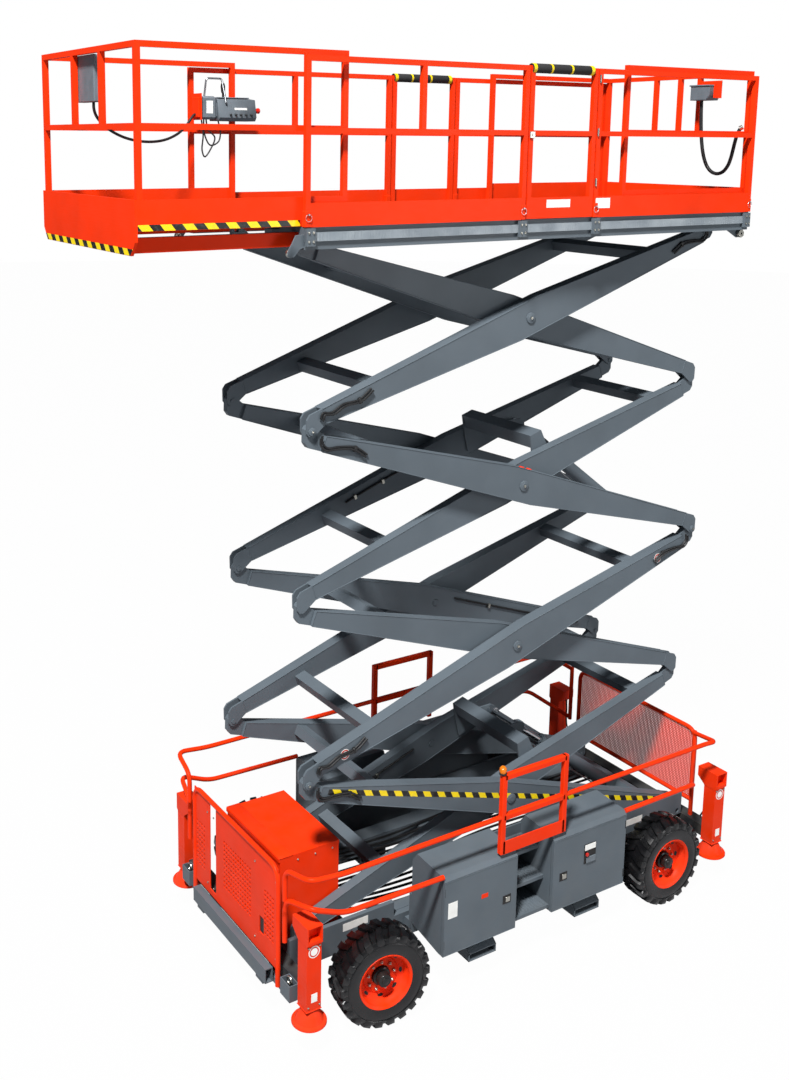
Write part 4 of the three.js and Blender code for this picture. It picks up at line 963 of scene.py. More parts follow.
class LIFT_OT_guards(bpy.types.Operator):
    """Makes the perforated front guard with painted shade behind its holes, the mesh rear guard, the side
    rails and the beacon
    """
    bl_idname = "lift.guards"
    bl_label = "Guards"

    def execute(self, context):
        put("perforated_front_guard", front_guard_shape(), "orange", "chassis", ["front_guard"])
        # black sheets just behind the guard's hole fields: painted shade for the shadow seen through the
        # holes, not a part of the machine
        fields = ((-0.680, -0.485, 0.615, 1.065), (-0.195, 0.305, 0.655, 1.115),
                  (0.415, 0.665, 0.620, 1.065))
        painted_shade_sheets = [block((GUARD_X - 0.0065, y0, z0), (GUARD_X - 0.0050, y1, z1))
                 for y0, y1, z0, z1 in fields]
        put("front_guard_painted_shade", painted_shade_sheets, "black", "chassis")
        put("mesh_rear_guard", rear_guard_shape(), "orange", "chassis", ["rear_guard"])
        for name, side in SIDES:
            put(f"{name}_round_rails", side_rail_shape(name, side), "orange", "chassis",
                [f"{name}_guard_rails"])
        spot = (GATE_FRAMES["left"][1] + 0.012, RAIL_Y, 1.775)
        seat = [(0.0, 0), (0.030, 0), (0.030, 0.012), (0.0, 0.014)]
        put("beacon_seat", turned(seat, spot, (0, 0, 1), 24, closed=False), "black", "chassis")
        dome = [(0.0, 0.012), (0.026, 0.012), (0.030, 0.030), (0.027, 0.052), (0.015, 0.066), (0.0, 0.070)]
        put("beacon_dome", turned(dome, spot, (0, 0, 1), 24, closed=False), "amber", "chassis")
        bolts = [(GUARD_X + 0.004, y, z) for y in (-0.455, -0.345, 0.355, 0.680) for z in (0.560, 1.200)]
        put("front_guard_bolts", nut(0.009, 0.006, (1, 0, 0)).repeated(bolts), "zinc", "chassis")
        return {"FINISHED"}


# ---------------------------------------------------------------- outriggers

OUTRIGGERS = {"front": 2.128, "rear": -2.213}
OUTRIGGER_Y = 1.021
SLEEVE_HALF = 0.063


class LIFT_OT_outriggers(bpy.types.Operator):
    """Makes the outriggers' legs with their dished pads, blank signs, bolts and hoses"""
    bl_idname = "lift.outriggers"
    bl_label = "Outriggers"

    def leg(self, x, y):
        half = SLEEVE_HALF - 0.013
        bar = block((x - half, y - half, 0.345), (x + half, y + half, 0.880), 0.008)
        foot = [(0.0, 0.360), (0.050, 0.360), (0.058, 0.352), (0.060, 0.343), (0.074, 0.328),
                (0.094, 0.290), (0.110, 0.262), (0.130, 0.257), (0.134, 0.250), (0.134, 0.237),
                (0.130, 0.233), (0.112, 0.236), (0.0, 0.240)]
        return joined([bar, turned(foot, (x, y, 0), (0, 0, 1), 48, closed=False).outward()])

    def execute(self, context):
        signs, rims, plates, bolts, hoses, seams = [], [], [], [], [], []
        for end, x in OUTRIGGERS.items():
            for name, side in SIDES:
                y = side * OUTRIGGER_Y
                put(f"{end}_{name}_dished_leg", self.leg(x, y), "orange", f"{end}_{name}_outrigger_body",
                    [f"{end}_{name}_outrigger_leg"])
                face = y + side * SLEEVE_HALF
                disc, rim = sign((x, face, 0.842), side, 0.048, (0.030, 0.040), 0.0008, 40)
                signs.append(disc)
                rims.append(rim)
                plates.append(side_plate((x - 0.030, x + 0.022), (0.430, 0.500), face, side))
                bolts += [(x + sx * 0.048, face, z) for sx in (1, -1) for z in (0.400, 0.885)]
                foot = 0.362
                seams.append(pipe([(x - 0.063, y - 0.063, foot), (x + 0.063, y - 0.063, foot),
                                   (x + 0.063, y + 0.063, foot), (x - 0.063, y + 0.063, foot)], 0.005, 0.0,
                                  6, wrap=True))
                inside = y - side * SLEEVE_HALF
                route = [(x - 0.02, inside - side * 0.010, 0.980), (x - 0.02, inside - side * 0.035, 0.860),
                         (x - 0.03, inside - side * 0.040, 0.640), (x - 0.05, inside - side * 0.110, 0.500)]
                hoses.append(pipe(flowing(route, 24), 0.008, sides=8))
        skins = [block((x0 - 0.0006, -0.955, 0.3655), (x1 + 0.0006, 0.955, 0.4706))
                 for x0, x1 in ((2.048, 2.148), (-2.300, -2.180))]
        put("outrigger_beam_coats", skins, "dark", "chassis")
        put("outrigger_signs", signs, "white", "chassis")
        put("outrigger_sign_rims", rims, "red", "chassis")
        put("outrigger_plates", plates, "white", "chassis")
        put("outrigger_seams", seams, "orange", "chassis")
        put("outrigger_bolts", [nut(0.008, 0.006, (0, math.copysign(1, spot[1]), 0)).moved(*spot)
                                for spot in bolts], "zinc", "chassis")
        put("outrigger_hoses", hoses, "hose", "chassis")
        return {"FINISHED"}


# ---------------------------------------------------------------- arms and cylinders


def arm_frame(stage, low_at_rear):
    """The place and the three axes of an arm: along it, across it and square to both."""
    pivot = REAR_PIVOT if low_at_rear else FRONT_PIVOT
    origin = (pivot[0], 0, REAR_PIVOT[2] + (stage - 1) * STAGE_RISE)
    way = 1 if low_at_rear else -1
    cos, sin = math.cos(ARM_ANGLE), math.sin(ARM_ANGLE)
    return origin, [(way * cos, 0, sin), (0, 1, 0), (-way * sin, 0, cos)]


def on_arm(shape, kind, stage):
    """A shape drawn along an arm, brought to its place. Arms of the two kinds cross."""
    return shape.placed(*arm_frame(stage, (stage % 2 == 1) == (kind == "outer")))


class LIFT_OT_arms(bpy.types.Operator):
    """Makes the arms' pin heads, weld lines, edges, hoses, signs and warning stripes"""
    bl_idname = "lift.arms"
    bl_label = "Scissor arms"

    def pin_heads(self):
        """Washers and capped pins at an outer pair's lower end and middle, each with a bolt."""
        face = ARM_FACE["outer"] + 0.008
        caps, nuts = [], []
        for side in (1, -1):
            for u, radius in ((0, 0.030), (ARM_PITCH / 2, 0.043)):
                cap = [(0, -0.001), (radius, -0.001), (radius, 0.002), (radius * 0.9, 0.004),
                       (radius * 0.62, 0.004), (radius * 0.55, 0.007), (0, 0.007)]
                caps.append(turned(cap, (u, side * face, 0), (0, side, 0), 32, closed=False))
                nuts.append(nut(radius * 0.30, 0.008, (0, side, 0)).moved(u, side * (face + 0.006), 0))
        return caps, nuts

    def joint_hoses(self, stage):
        """Pairs of hoses that come from a clip on an outer arm's face and stop short of its joint.

        Even stages carry a pair at each end, and odd stages one at the upper end.
        """
        y = ARM_FACE["outer"] + 0.012
        pieces = []
        for side in (1, -1):
            high = ((0.52, -0.060), (0.40, -0.030), (0.26, -0.055), (0.16, -0.085), (0.105, -0.055),
                    (0.090, -0.010))
            bends = [[(ARM_PITCH - back, v) for back, v in high]]
            if stage % 2 == 0:
                bends.append([(0.56, 0.095), (0.44, 0.060), (0.30, 0.085), (0.19, 0.070), (0.12, 0.095),
                              (0.090, 0.060)])
            for bend in bends:
                for shift in (0.0, 0.019):
                    route = [(u + shift * 0.6, side * (y + shift * 0.3), v - shift) for u, v in bend]
                    pieces.append(pipe(flowing(route, 36), 0.0085, sides=8))
                u, v = bend[1]
                pieces.append(block((u - 0.012, side * (y - 0.012), v - 0.034),
                                    (u + 0.012, side * (y + 0.012), v + 0.014), 0.004))
        return pieces

    def weld_lines(self, kind):
        """Beads where the joint plates meet the arm, near each end."""
        face, width = ARM_FACE[kind], ARM_WIDTH[kind]
        pieces = []
        for side in (1, -1):
            for u, low, high in ((0.133, 0.005, 0.118), (ARM_PITCH - 0.133, -0.118, -0.005)):
                for y in (face, face - width):
                    pieces.append(rod((u, side * y, low), (u, side * y, high), 0.004, 6))
        return joined(pieces)

    def edges(self, kind):
        """Thin rounded ribs along an arm's four long edges, which catch the light."""
        face, width = ARM_FACE[kind], ARM_WIDTH[kind]
        middle = ARM_PITCH / 2
        lines = [[(0.135, ARM_END_DEPTH), (middle + 0.130, ARM_HALF_DEPTH), (ARM_PITCH - 0.135, -0.005)],
                 [(0.135, 0.005), (middle - 0.130, -ARM_HALF_DEPTH), (ARM_PITCH - 0.135, -ARM_END_DEPTH)]]
        pieces = []
        for line in lines:
            for y in (face, face - width):
                for side in (1, -1):
                    pieces.append(pipe([(u, side * y, v) for u, v in line], 0.0035, sides=8))
        return joined(pieces)

    def hoses(self, stage):
        """Two hoses clipped along the left inner arm's inner side, and one along the right's.

        On odd stages they start farther up the arm, which comes down beside the tank.
        """
        inner_side = ARM_FACE["inner"] - ARM_WIDTH["inner"]
        pieces, clips = [], []
        start = 1.10 if stage % 2 else 0.30
        for side, count in ((1, 2), (-1, 1)):
            for k in range(count):
                y = side * (inner_side - 0.012 - 0.022 * k)
                low = 0.055 - 0.03 * k
                route = [(start, y, low), (1.35, y, low + 0.010), (ARM_PITCH / 2 - 0.20, y, low + 0.018)]
                pieces.append(pipe(flowing(route, 40), 0.009, sides=8))
                for u in (start + 0.10, 1.50):
                    clips.append(block((u - 0.012, y - 0.014, low - 0.016),
                                       (u + 0.012, y + 0.014, low + 0.026), 0.003))
        return joined(pieces), joined(clips)

    def execute(self, context):
        for stage in STAGES:
            outer, inner = f"outer_arms_{stage}_body", f"inner_arms_{stage}_body"
            for kind, body in (("outer", outer), ("inner", inner)):
                ribs = joined([self.weld_lines(kind), self.edges(kind)])
                put(f"{kind}_arm_edges_{stage}", on_arm(ribs, kind, stage), "grey", body)
            hoses, clips = self.hoses(stage)
            put(f"arm_hoses_{stage}", on_arm(hoses, "inner", stage), "hose", inner)
            put(f"arm_clips_{stage}", on_arm(clips, "inner", stage), "zinc", inner)
            caps, nuts = self.pin_heads()
            put(f"pin_caps_{stage}", on_arm(joined(caps), "outer", stage), "grey", outer)
            # the lowest arms pass too close to the chassis to carry bolts
            if stage > 1:
                put(f"pin_bolts_{stage}", on_arm(joined(nuts), "outer", stage), "zinc", outer)
            bends = joined(self.joint_hoses(stage))
            put(f"joint_hoses_{stage}", on_arm(bends, "outer", stage), "hose", outer)
        # the stripe runs from near the arm's upper edge at its foot to a little under its middle
        low, high = 0.082, -0.040
        start, end, half = 0.30, ARM_PITCH - 0.20, 0.022
        outline = [(start, low - half), (end, high - half), (end, high + half), (start, low + half)]
        face = ARM_FACE["outer"]
        stripes = [prism(outline, "y", *sorted((side * face, side * (face + TAPE)))) for side in (1, -1)]
        put("arm_stripes", on_arm(joined(stripes), "outer", 1), "stripe_arm", "outer_arms_1_body")
        stage = 2
        for name, u, v in (("low", 0.36, 0.055), ("high", ARM_PITCH - 0.46, -0.062)):
            pairs = [sign((u, side * face, v), side, 0.044, (0.028, 0.038), 0.0009, 32)
                     for side in (1, -1)]
            for part, shapes, finish in zip(("sign", "sign_rim"), zip(*pairs), ("white", "red")):
                put(f"arm_{part}_{name}", on_arm(joined(shapes), "outer", stage), finish,
                    f"outer_arms_{stage}_body")
        caps = [turned([(0, 0), (0.022, 0), (0.024, 0.003), (0.024, 0.008), (0.016, 0.012), (0, 0.013)],
                       (ARM_PITCH / 2 + du, ARM_FACE["outer"] - 0.03, ARM_HALF_DEPTH - 0.002), (0, 0, 1), 20,
                       closed=False) for du in (-0.03, 0.05)]
        put("service_caps", on_arm(joined(caps), "outer", 3), "orange", "outer_arms_3_body")
        return {"FINISHED"}


class LIFT_OT_cylinders(bpy.types.Operator):
    """Makes the lift cylinders' round barrels, glands, ports and chromed rods"""
    bl_idname = "lift.cylinders"
    bl_label = "Lift cylinders"

    def line(self, which):
        """The base pin, the cylinder's direction and the distance to the rod's eye."""
        base = pin(f"{which}_cylinder_pin")
        stage = {"lower": 1, "upper": 3}[which]
        along, high = ARM_PITCH / 2 + 0.550, 0.160
        origin, axes = arm_frame(stage, False)
        horn = np.array(origin) + along * np.array(axes[0]) + high * np.array(axes[2])
        way = horn - base
        return base, unit(way), np.linalg.norm(way)

    def execute(self, context):
        for which, rows in (("lower", (-0.160, 0.160)), ("upper", (0.0,))):
            base, way, reach = self.line(which)
            axes = [way, (0, 1, 0), np.cross(way, (0, 1, 0))]
            # the tube, its end collar, and the mouth that the rod slides in
            wall = [(0.0, 0.060), (0.052, 0.060), (0.060, 0.068), (0.060, 1.030), (0.064, 1.034),
                    (0.064, 1.078), (0.058, 1.085), (0.034, 1.085), (0.034, 1.000), (0.0, 1.000)]
            barrels, rods, ports = [], [], []
            for row in rows:
                barrels.append(turned(wall, (0, row, 0), (1, 0, 0), 40, closed=False).outward())
                barrels.append(turned([(0.0195, -0.03), (0.045, -0.03), (0.045, 0.03), (0.0195, 0.03)],
                                      (0, row, 0), (0, 1, 0), 32))
                barrels.append(block((0.035, row - 0.030, -0.035), (0.068, row + 0.030, 0.035), 0.004))
                rods.append(rod((reach - 1.095, row, 0), (reach - 0.040, row, 0), 0.032, 32, 0.002))
                rods.append(turned([(0.0, -0.03), (0.045, -0.03), (0.045, 0.03), (0.0, 0.03)],
                                   (reach, row, 0), (0, 1, 0), 32, closed=False))
                for at in (0.12, 0.98):
                    ports.append(rod((at, row, -0.055), (at, row, -0.084), 0.014, 6))
                ports.append(pipe([(0.12, row, -0.080), (0.20, row, -0.080), (0.90, row, -0.080),
                                   (0.98, row, -0.080)], 0.007, 0.02, 8))
            if len(rows) > 1:
                barrels.append(block((0.995, -0.110, -0.020), (1.045, 0.110, 0.020), 0.004))
                rods.append(rod((reach, -0.133, 0), (reach, 0.133, 0), 0.018, 24))
            for kind, shapes, finish in (("barrel", barrels, "grey"), ("rod", rods, "chrome")):
                put(f"{which}_round_{kind}", joined(shapes).placed(base, axes), finish,
                    f"{which}_{kind}_body", [f"{which}_lift_{kind}"])
            put(f"{which}_ports", joined(ports).placed(base, axes), "steel", f"{which}_barrel_body")
        return {"FINISHED"}


# ---------------------------------------------------------------- platform

RAIL_HALF = 0.019
PLATFORM_FACE = 0.889
EXTENSION_FACE = 0.830
GATE_X = (-0.485, 0.210)


class LIFT_OT_platform(bpy.types.Operator):
    """Makes the platform's sockets, pins, stripes, blank plates, padding and tread strips"""
    bl_idname = "lift.platform"
    bl_label = "Platform"

    def padding(self, name, side):
        """A foam sleeve round a gate's top rail, with yellow bands at its ends and between.

        It starts far enough from the hinge to clear the rear post when the gate is open.
        """
        y, z = side * (PLATFORM_FACE - RAIL_HALF), TOP_Z + 1.213
        x0, x1 = GATE_X[0] + 0.060, GATE_X[1] - 0.018
        body = f"{name}_gate_body"
        profile = [(0.0275, 0), (0.032, 0), (0.035, 0.004), (0.035, x1 - x0 - 0.004), (0.032, x1 - x0),
                   (0.0275, x1 - x0)]
        put(f"{name}_gate_foam", turned(profile, (x0, y, z), (1, 0, 0), 28), "padding", body)
        bands = [turned([(0.034, 0), (0.0362, 0.001), (0.0362, wide - 0.001), (0.034, wide)], (at, y, z),
                        (1, 0, 0), 28)
                 for at, wide in ((x0 + 0.006, 0.030), (x1 - 0.036, 0.030), (x0 + 0.22, 0.018),
                                  (x0 + 0.42, 0.018))]
        put(f"{name}_gate_bands", bands, "yellow", body)

    def sockets(self, posts):
        """A square collar round the foot of each post, and a pin with a ring through it."""
        collars, pins = [], []
        for x, y, z in posts:
            h = RAIL_HALF + 0.004
            collars.append(block((x - h, y - h, z), (x + h, y + h, z + 0.110), 0.003))
            out = math.copysign(1, y)
            pins.append(rod((x, y + out * (h - 0.004), z + 0.085), (x, y + out * (h + 0.012), z + 0.085),
                            0.006, 10))
            ring = circle(0.024, 20)
            loop = np.column_stack([x + ring[:, 0], np.full(20, y + out * (h + 0.006)),
                                    z + 0.062 + ring[:, 1]])
            pins.append(carried(circle(0.0016, 6), loop, wrap=True))
        return collars, pins

    def corners(self, name, side):
        """The plates and rollers under the platform's two corners on one side."""
        eye = [(2.132, TOP_Z + 0.060), (2.196, TOP_Z + 0.055), (2.225, TOP_Z), (2.262, TOP_Z - 0.055),
               (2.262, TOP_Z - 0.082), (2.238, TOP_Z - 0.095), (2.205, TOP_Z - 0.088),
               (2.165, TOP_Z - 0.040), (2.132, TOP_Z - 0.030)]
        keeper = [(-2.290, TOP_Z - 0.040), (-2.100, TOP_Z - 0.040), (-2.150, TOP_Z - 0.065),
                  (-2.240, TOP_Z - 0.115), (-2.290, TOP_Z - 0.110)]
        plates = [prism(outline, "y", *sorted((side * near, side * (near + 0.012))), 0.002)
                  for outline, near in ((eye, 0.862), (keeper, 0.806))]
        put(f"{name}_corner_eyes", plates, "grey", "platform")
        rollers = []
        for radius, wide, place in ((0.028, 0.022, (2.238, side * 0.850, TOP_Z - 0.065)),
                                    (0.034, 0.030, (-2.262, side * 0.820, TOP_Z - 0.080))):
            section = [(0.010, 0), (radius - 0.002, 0), (radius, 0.003), (radius, wide - 0.003),
                       (radius - 0.002, wide), (0.010, wide)]
            rollers.append(turned(section, place, (0, side, 0), 24))
        put(f"{name}_corner_rollers", rollers, "zinc", "platform")

    def gate_fittings(self, name, side, toe):
        """The hinge knuckles behind a gate and the latch at its front."""
        face = side * PLATFORM_FACE
        x, y = GATE_X[0] - 0.006, face - side * RAIL_HALF + side * 0.022
        knuckles = [rod((x, y, toe + z), (x, y, toe + z + 0.060), 0.008, 12) for z in (0.24, 0.62, 1.02)]
        put(f"{name}_gate_hinges", knuckles, "zinc", "platform")
        x, z = GATE_X[1] - 0.037, toe + 0.625
        latch = [block((x - 0.025, face, z - 0.025), (x + 0.025, face + side * 0.010, z + 0.025), 0.003),
                 rod((x, face + side * 0.008, z), (x, face + side * 0.016, z), 0.010, 12)]
        put(f"{name}_gate_latch", latch, "zinc", f"{name}_gate_body")

    def execute(self, context):
        toe = TOP_Z + 0.106
        floor = TOP_Z + 0.111
        for name, side in SIDES:
            self.padding(name, side)
            face = side * PLATFORM_FACE
            y = face - side * RAIL_HALF
            strip = block((-2.300, side * 0.886, TOP_Z + 0.011), (2.130, side * 0.8875, TOP_Z + 0.071))
            put(f"{name}_tread_strip", strip, "silver", "platform")
            bolts = [(x + dx, side * 0.906, TOP_Z + dz) for x in (2.095, 0.235, -0.510, -2.255)
                     for dx in (-0.018, 0.018) for dz in (0.010, 0.070)]
            put(f"{name}_bracket_bolts", nut(0.009, 0.006, (0, side, 0)).repeated(bolts), "zinc",
                "platform")
            on_gate = side_plate((-0.236, 0.002), (toe + 0.085, toe + 0.145), face, side)
            put(f"{name}_gate_plate", on_gate, "white", f"{name}_gate_body")
            on_toe_board = side_plate((-0.655, -0.503), (toe + 0.070, toe + 0.148), face, side)
            put(f"{name}_rear_plate", on_toe_board, "white", "platform")
            posts = [(x, y, toe + 0.0005)
                     for x in (GATE_X[1] + RAIL_HALF, 2.111, GATE_X[0] - RAIL_HALF, -2.281)]
            collars, pins = self.sockets(posts)
            put(f"{name}_post_sockets", collars, "orange", "platform")
            put(f"{name}_post_pins", pins, "steel", "platform")
            self.gate_fittings(name, side, toe)
            self.corners(name, side)
            edge = side * EXTENSION_FACE
            tape = side_plate((2.138, 3.318), (floor + 0.002, floor + 0.042), edge, side, TAPE)
            put(f"{name}_extension_stripe", tape, "stripe_side", "front_extension")
        bottom = TOP_Z - 0.045
        ends = [(-0.755, bottom + 0.002), (0.755, bottom + 0.002), (0.795, bottom + 0.045),
                (-0.795, bottom + 0.045)]
        tape = prism(ends, "x", 3.3380, 3.3380 + TAPE)
        put("front_panel_stripe", tape, "stripe_front", "front_extension")
        return {"FINISHED"}


class LIFT_OT_boxes(bpy.types.Operator):
    """Makes the control box with its handle and lever, the document box and the rear box"""
    bl_idname = "lift.boxes"
    bl_label = "Boxes"

    def control(self):
        t = TOP_Z
        outline = [(-0.7917, t + 0.824), (-0.642, t + 0.824), (-0.622, t + 0.850), (-0.650, t + 0.988),
                   (-0.7917, t + 1.003)]
        return joined([prism(outline, "x", 1.660, 1.990, 0.005),
                       block((1.992, -0.770, t + 0.835), (2.130, -0.650, t + 1.010), 0.016),
                       block((1.980, -0.760, t + 0.860), (2.000, -0.660, t + 0.960)),
                       block((1.690, -0.765, t + 0.998), (1.960, -0.690, t + 1.006), 0.003)])

    def execute(self, context):
        t = TOP_Z
        body = "front_extension"
        put("control_housing", self.control(), "boxes", body, ["control_box"])
        handle = [(2.080, -0.700, t + 1.000), (2.062, -0.700, t + 1.132), (2.050, -0.700, t + 1.145),
                  (1.935, -0.700, t + 1.145), (1.928, -0.690, t + 1.125), (1.926, -0.6300, t + 0.960)]
        put("control_handle", pipe(handle, 0.0075, 0.03, 12), "steel", body)
        lever = turned([(0.0, 0), (0.012, 0), (0.010, 0.030), (0.016, 0.040), (0.018, 0.085), (0.013, 0.108),
                        (0.0, 0.112)], (1.900, -0.725, t + 1.004), (0.05, 0, 1), 20, closed=False)
        knobs = [rod((x, -0.628, t + 0.872), (x, -0.612, t + 0.870), 0.009, 12, 0.002)
                 for x in 1.710 + 0.045 * np.arange(5)]
        put("control_lever", [lever, *knobs], "black", body)
        stop = turned([(0.0, 0), (0.010, 0), (0.010, 0.018), (0.021, 0.020), (0.022, 0.036), (0.016, 0.042),
                       (0.0, 0.043)], (1.662, -0.655, t + 0.905), (-1, 0, 0), 24, closed=False)
        put("emergency_stop", stop, "red", body)
        plate = [block((1.740, -0.6365, t + 0.905), (1.850, -0.6340, t + 0.925)),
                 block((2.030, -0.650, t + 0.880), (2.085, -0.6490, t + 0.975))]
        put("control_plates", plate, "white", body)
        bracket = [block((2.128, -0.768, t + 0.850), (2.150, -0.655, t + 1.000), 0.003),
                   block((2.128, -0.800, t + 0.830), (2.134, -0.640, t + 1.030), 0.001)]
        put("control_bracket", bracket, "orange", body)
        loops = [flowing([(2.06, -0.71, t + 0.838), (2.05, -0.70, t + 0.76), (1.99, -0.70, t + 0.70),
                          (2.02, -0.70, t + 0.62), (2.078, -0.70, t + 0.551), (2.10, -0.70, t + 0.60),
                          (2.09, -0.70, t + 0.72), (2.10, -0.71, t + 0.838)], 60),
                 flowing([(1.95, -0.72, t + 0.826), (1.935, -0.71, t + 0.74), (1.96, -0.70, t + 0.665),
                          (2.03, -0.70, t + 0.640), (2.075, -0.71, t + 0.73), (2.08, -0.71, t + 0.838)], 60)]
        put("control_leads", [pipe(line, 0.006, sides=10) for line in loops], "hose", body)
        low, high = t + 0.925, t + 1.2357
        x0, x1 = 3.205, 3.280
        doc = [block((x0 + 0.003, -0.270, low), (x1 - 0.0003, 0.060, high), 0.006),
               block((x0, -0.262, high - 0.055), (x0 + 0.006, 0.052, high - 0.006), 0.002),
               rod((x0 + 0.004, -0.20, high - 0.075), (x0 + 0.004, -0.01, high - 0.075), 0.004, 10)]
        put("document_holder", doc, "boxes", body, ["document_box"])
        rear = "rear_extension"
        x = -2.2707
        outline = [(0.322, t + 1.042), (0.498, t + 1.042), (0.528, t + 1.090), (0.528, t + 1.163),
                   (0.322, t + 1.163)]
        hood = prism(outline, "x", x, x + 0.150, 0.005)
        lid = prism([(0.315, t + 1.160), (0.533, t + 1.160), (0.533, t + 1.172), (0.315, t + 1.172)], "x",
                    x, x + 0.158, 0.002)
        put("rear_housing", [hood, lid], "boxes", rear, ["rear_box"])
        put("rear_box_bracket", [block((x, 0.530, t + 1.060), (x + 0.10, 0.536, t + 1.200), 0.001),
                                 block((x, 0.300, t + 1.165), (x + 0.006, 0.536, t + 1.210), 0.001)],
            "orange", rear)
        clamp = turned([(0.0152, -0.014), (0.020, -0.014), (0.020, 0.014), (0.0152, 0.014)],
                       (-2.246, 0.783, t + 0.808), (-0.5, 0.7, 0.5), 24)
        put("hose_clamp", clamp, "zinc", rear)
        return {"FINISHED"}


# ---------------------------------------------------------------- cabinets and chassis

CABINET_FACE = 1.120
SIDE_PLATE_FACE = 0.700
FRONT_CABINET = (0.224, 0.962)
REAR_CABINET = (-0.988, -0.167)


class LIFT_OT_cabinets(bpy.types.Operator):
    """Makes the doors' hems, latches and hinges, the ground controls, step treads and labels"""
    bl_idname = "lift.cabinets"
    bl_label = "Cabinets"

    def door(self, span, side, latch_x):
        """A folded hem round the door's edge, and the cup and paddle of its latch."""
        face = side * CABINET_FACE
        x0, x1, z0, z1 = span[0] + 0.004, span[1] - 0.004, 0.389, 1.016
        hem = pipe([(x0, face, z0), (x1, face, z0), (x1, face, z1), (x0, face, z1)], 0.003, sides=8,
                   wrap=True)
        cup = side_plate((latch_x - 0.042, latch_x + 0.042), (0.640, 0.715), face, side, 0.002, 0.001)
        paddle = block((latch_x - 0.030, face + side * 0.001, 0.655),
                       (latch_x + 0.014, face + side * 0.009, 0.700), 0.003)
        return hem, cup, paddle

    def ground_panel(self, face):
        """The ground controls on the left rear door: a back plate, a drawer and a stop knob."""
        body = "left_rear_door_body"
        back = side_plate((-0.640, -0.510), (0.715, 0.890), face, 1, 0.004, 0.001)
        put("ground_panel_back", back, "black_paint", body)
        front = face + 0.004
        put("ground_panel_plate", side_plate((-0.636, -0.514), (0.835, 0.886), front, 1), "white", body)
        drawer = side_plate((-0.636, -0.530), (0.720, 0.775), front, 1, 0.008, 0.003)
        put("ground_panel_drawer", drawer, "boxes", body)
        section = [(0, 0), (0.008, 0), (0.008, 0.006), (0.016, 0.008), (0.016, 0.016), (0, 0.018)]
        knob = turned(section, (-0.532, front, 0.803), (0, 1, 0), 24, closed=False)
        put("ground_stop", knob, "red", body)

    def treads(self, name, side):
        """Ribs across the three steps between a side's cabinets."""
        ribs = []
        for z, out in ((0.440, 1.085), (0.670, 1.010), (0.900, 0.930)):
            rib = block((-0.009, side * 0.735, z), (0.009, side * (out - 0.020), z + 0.003), 0.001)
            ribs.append(rib.repeated([(x, 0, 0) for x in np.arange(-0.135, 0.20, 0.030)]))
        put(f"{name}_step_treads", ribs, "grey", "chassis")

    def fork_hoods(self, name, side):
        """A sloping roof, two cheeks and a floor round the mouth of each fork pocket."""
        long, sheet = 0.280, 0.008
        near, far = side * 1.010, side * 1.075
        roof = [(side * 0.860, 0.329), (near, 0.329), (far, 0.275), (far, 0.267), (side * 1.012, 0.316),
                (side * 0.860, 0.316)]
        cheek = [(near, 0.329), (far, 0.275), (far, 0.205), (near, 0.205)]
        hoods, labels = [], []
        for x in (-0.760, 0.380):
            hoods.append(prism(roof, "x", x + 0.001, x + long - 0.001))
            hoods += [prism(cheek, "x", at, at + sheet) for at in (x, x + long - sheet)]
            hoods.append(block((x, near, 0.205), (x + long, far, 0.205 + sheet)))
            labels.append(block((x + 0.10, side * 1.012, 0.3292), (x + 0.17, side * 0.975, 0.3302)))
        put(f"{name}_fork_hoods", hoods, "grey", "chassis")
        put(f"{name}_fork_labels", labels, "white", "chassis")

    def execute(self, context):
        for name, side in SIDES:
            face = side * CABINET_FACE
            for end, span, latch_x, hinge_x in (("front", FRONT_CABINET, 0.326, 0.962),
                                                ("rear", REAR_CABINET, -0.283, -0.988)):
                body = f"{name}_{end}_door_body"
                hem, cup, paddle = self.door(span, side, latch_x)
                put(f"{name}_{end}_door_hem", hem, "grey", body)
                put(f"{name}_{end}_latch_cup", cup, "black_paint", body)
                put(f"{name}_{end}_latch", paddle, "zinc", body)
                out = math.copysign(0.006, hinge_x)
                x, y = hinge_x - out, face - side * 0.002
                knuckles = [rod((x, y, z), (x, y, z + 0.07), 0.005, 10) for z in (0.450, 0.900)]
                put(f"{name}_{end}_hinges", knuckles, "black_paint", body)
            front = f"{name}_front_door_body"
            label = side_plate((0.522, 0.590), (0.765, 0.803), face, side, chamfer=0.0004)
            put(f"{name}_orange_label", label, "orange", front)
            label = side_plate((0.830, 0.922), (0.700, 0.835), face, side, chamfer=0.0004)
            put(f"{name}_white_label", label, "white", front)
            if side > 0:
                self.ground_panel(face)
            self.treads(name, side)
            self.fork_hoods(name, side)
            shelf = side * SIDE_PLATE_FACE
            plates = [side_plate((1.388, 1.624), (0.590, 0.655), shelf, side),
                      side_plate((-1.650, -1.420), (0.555, 0.615), shelf, side)]
            put(f"{name}_shelf_plates", plates, "white", "chassis")
        return {"FINISHED"}


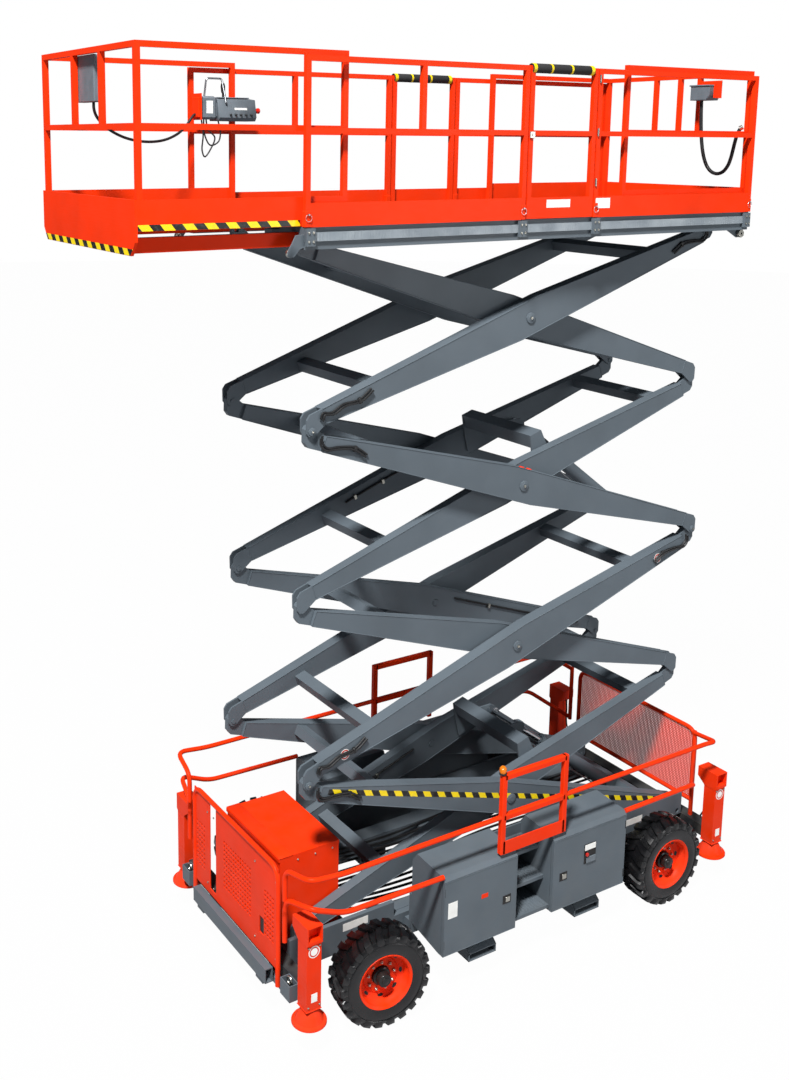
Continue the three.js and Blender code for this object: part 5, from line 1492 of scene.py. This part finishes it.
class LIFT_OT_chassis(bpy.types.Operator):
    """Makes the hose runs, the tank lid's seam and flap, the tank's bolts and the tie rings"""
    bl_idname = "lift.chassis"
    bl_label = "Chassis details"

    def execute(self, context):
        hoses = []
        for k, y in enumerate(np.arange(-0.42, 0.43, 0.07)):
            rise = 0.01 * (k % 4)
            route = [(-1.95, y, 0.47), (-1.2, y + 0.02, 0.462 + rise), (-0.4, y - 0.02, 0.475),
                     (0.4, y + 0.02, 0.462), (1.1, y, 0.470 + rise), (1.40, y * 0.8, 0.50)]
            hoses.append(pipe(flowing(route, 60), 0.011, sides=8))
        put("chassis_hoses", hoses, "hose", "chassis")
        x0, x1, half, z = 1.500, 2.046, 0.430, 1.192
        seam = pipe([(x0, -half, z), (x0, half, z), (x1, half, z), (x1, -half, z)], 0.004, sides=6, wrap=True)
        flap = block((1.925, -0.440, 1.1995), (2.050, 0.440, 1.2075), 0.003)
        put("tank_lid_flap", [seam, flap], "orange", "tank_lid_body")
        bolts = [(1.56 + 0.16 * k, 0.436, 1.150) for k in range(3)]
        put("tank_bolts", nut(0.008, 0.006, (0, 1, 0)).repeated(bolts), "zinc", "chassis")
        ring = circle(0.030, 20)
        hooks = []
        for side in (1, -1):
            loop = np.column_stack([np.full(20, 2.193), side * 0.843 + ring[:, 0], 0.478 + ring[:, 1]])
            hooks.append(carried(circle(0.007, 8), loop, wrap=True))
        put("tie_rings", hooks, "zinc", "chassis")
        return {"FINISHED"}


# ---------------------------------------------------------------- panel and running order

ORDER = ("stage", "cords", "wheels", "guards", "outriggers", "arms", "cylinders", "platform", "boxes",
         "cabinets", "chassis")


class LIFT_PT_panel(bpy.types.Panel):
    """Lists the settings and the operators in the order in which they run"""
    bl_label = "Scissor Lift"
    bl_idname = "LIFT_PT_panel"
    bl_space_type = "VIEW_3D"
    bl_region_type = "UI"
    bl_category = "Scissor Lift"

    def draw(self, context):
        for name in LiftSettings.__annotations__:
            self.layout.prop(context.scene.lift_settings, name)
        for name in ORDER:
            self.layout.operator(f"lift.{name}")


CLASSES = [LiftSettings, LIFT_OT_stage, LIFT_OT_cords, LIFT_OT_wheels, LIFT_OT_guards, LIFT_OT_outriggers,
           LIFT_OT_arms, LIFT_OT_cylinders, LIFT_OT_platform, LIFT_OT_boxes, LIFT_OT_cabinets,
           LIFT_OT_chassis, LIFT_PT_panel]


def register():
    for cls in CLASSES:
        bpy.utils.register_class(cls)
    bpy.types.Scene.lift_settings = PointerProperty(type=LiftSettings)


def unregister():
    del bpy.types.Scene.lift_settings
    for cls in reversed(CLASSES):
        bpy.utils.unregister_class(cls)


def main():
    register()
    mix_finishes()
    paint_nodes()
    for name in ORDER:
        getattr(bpy.ops.lift, name)()


if __name__ == "__main__":
    main()
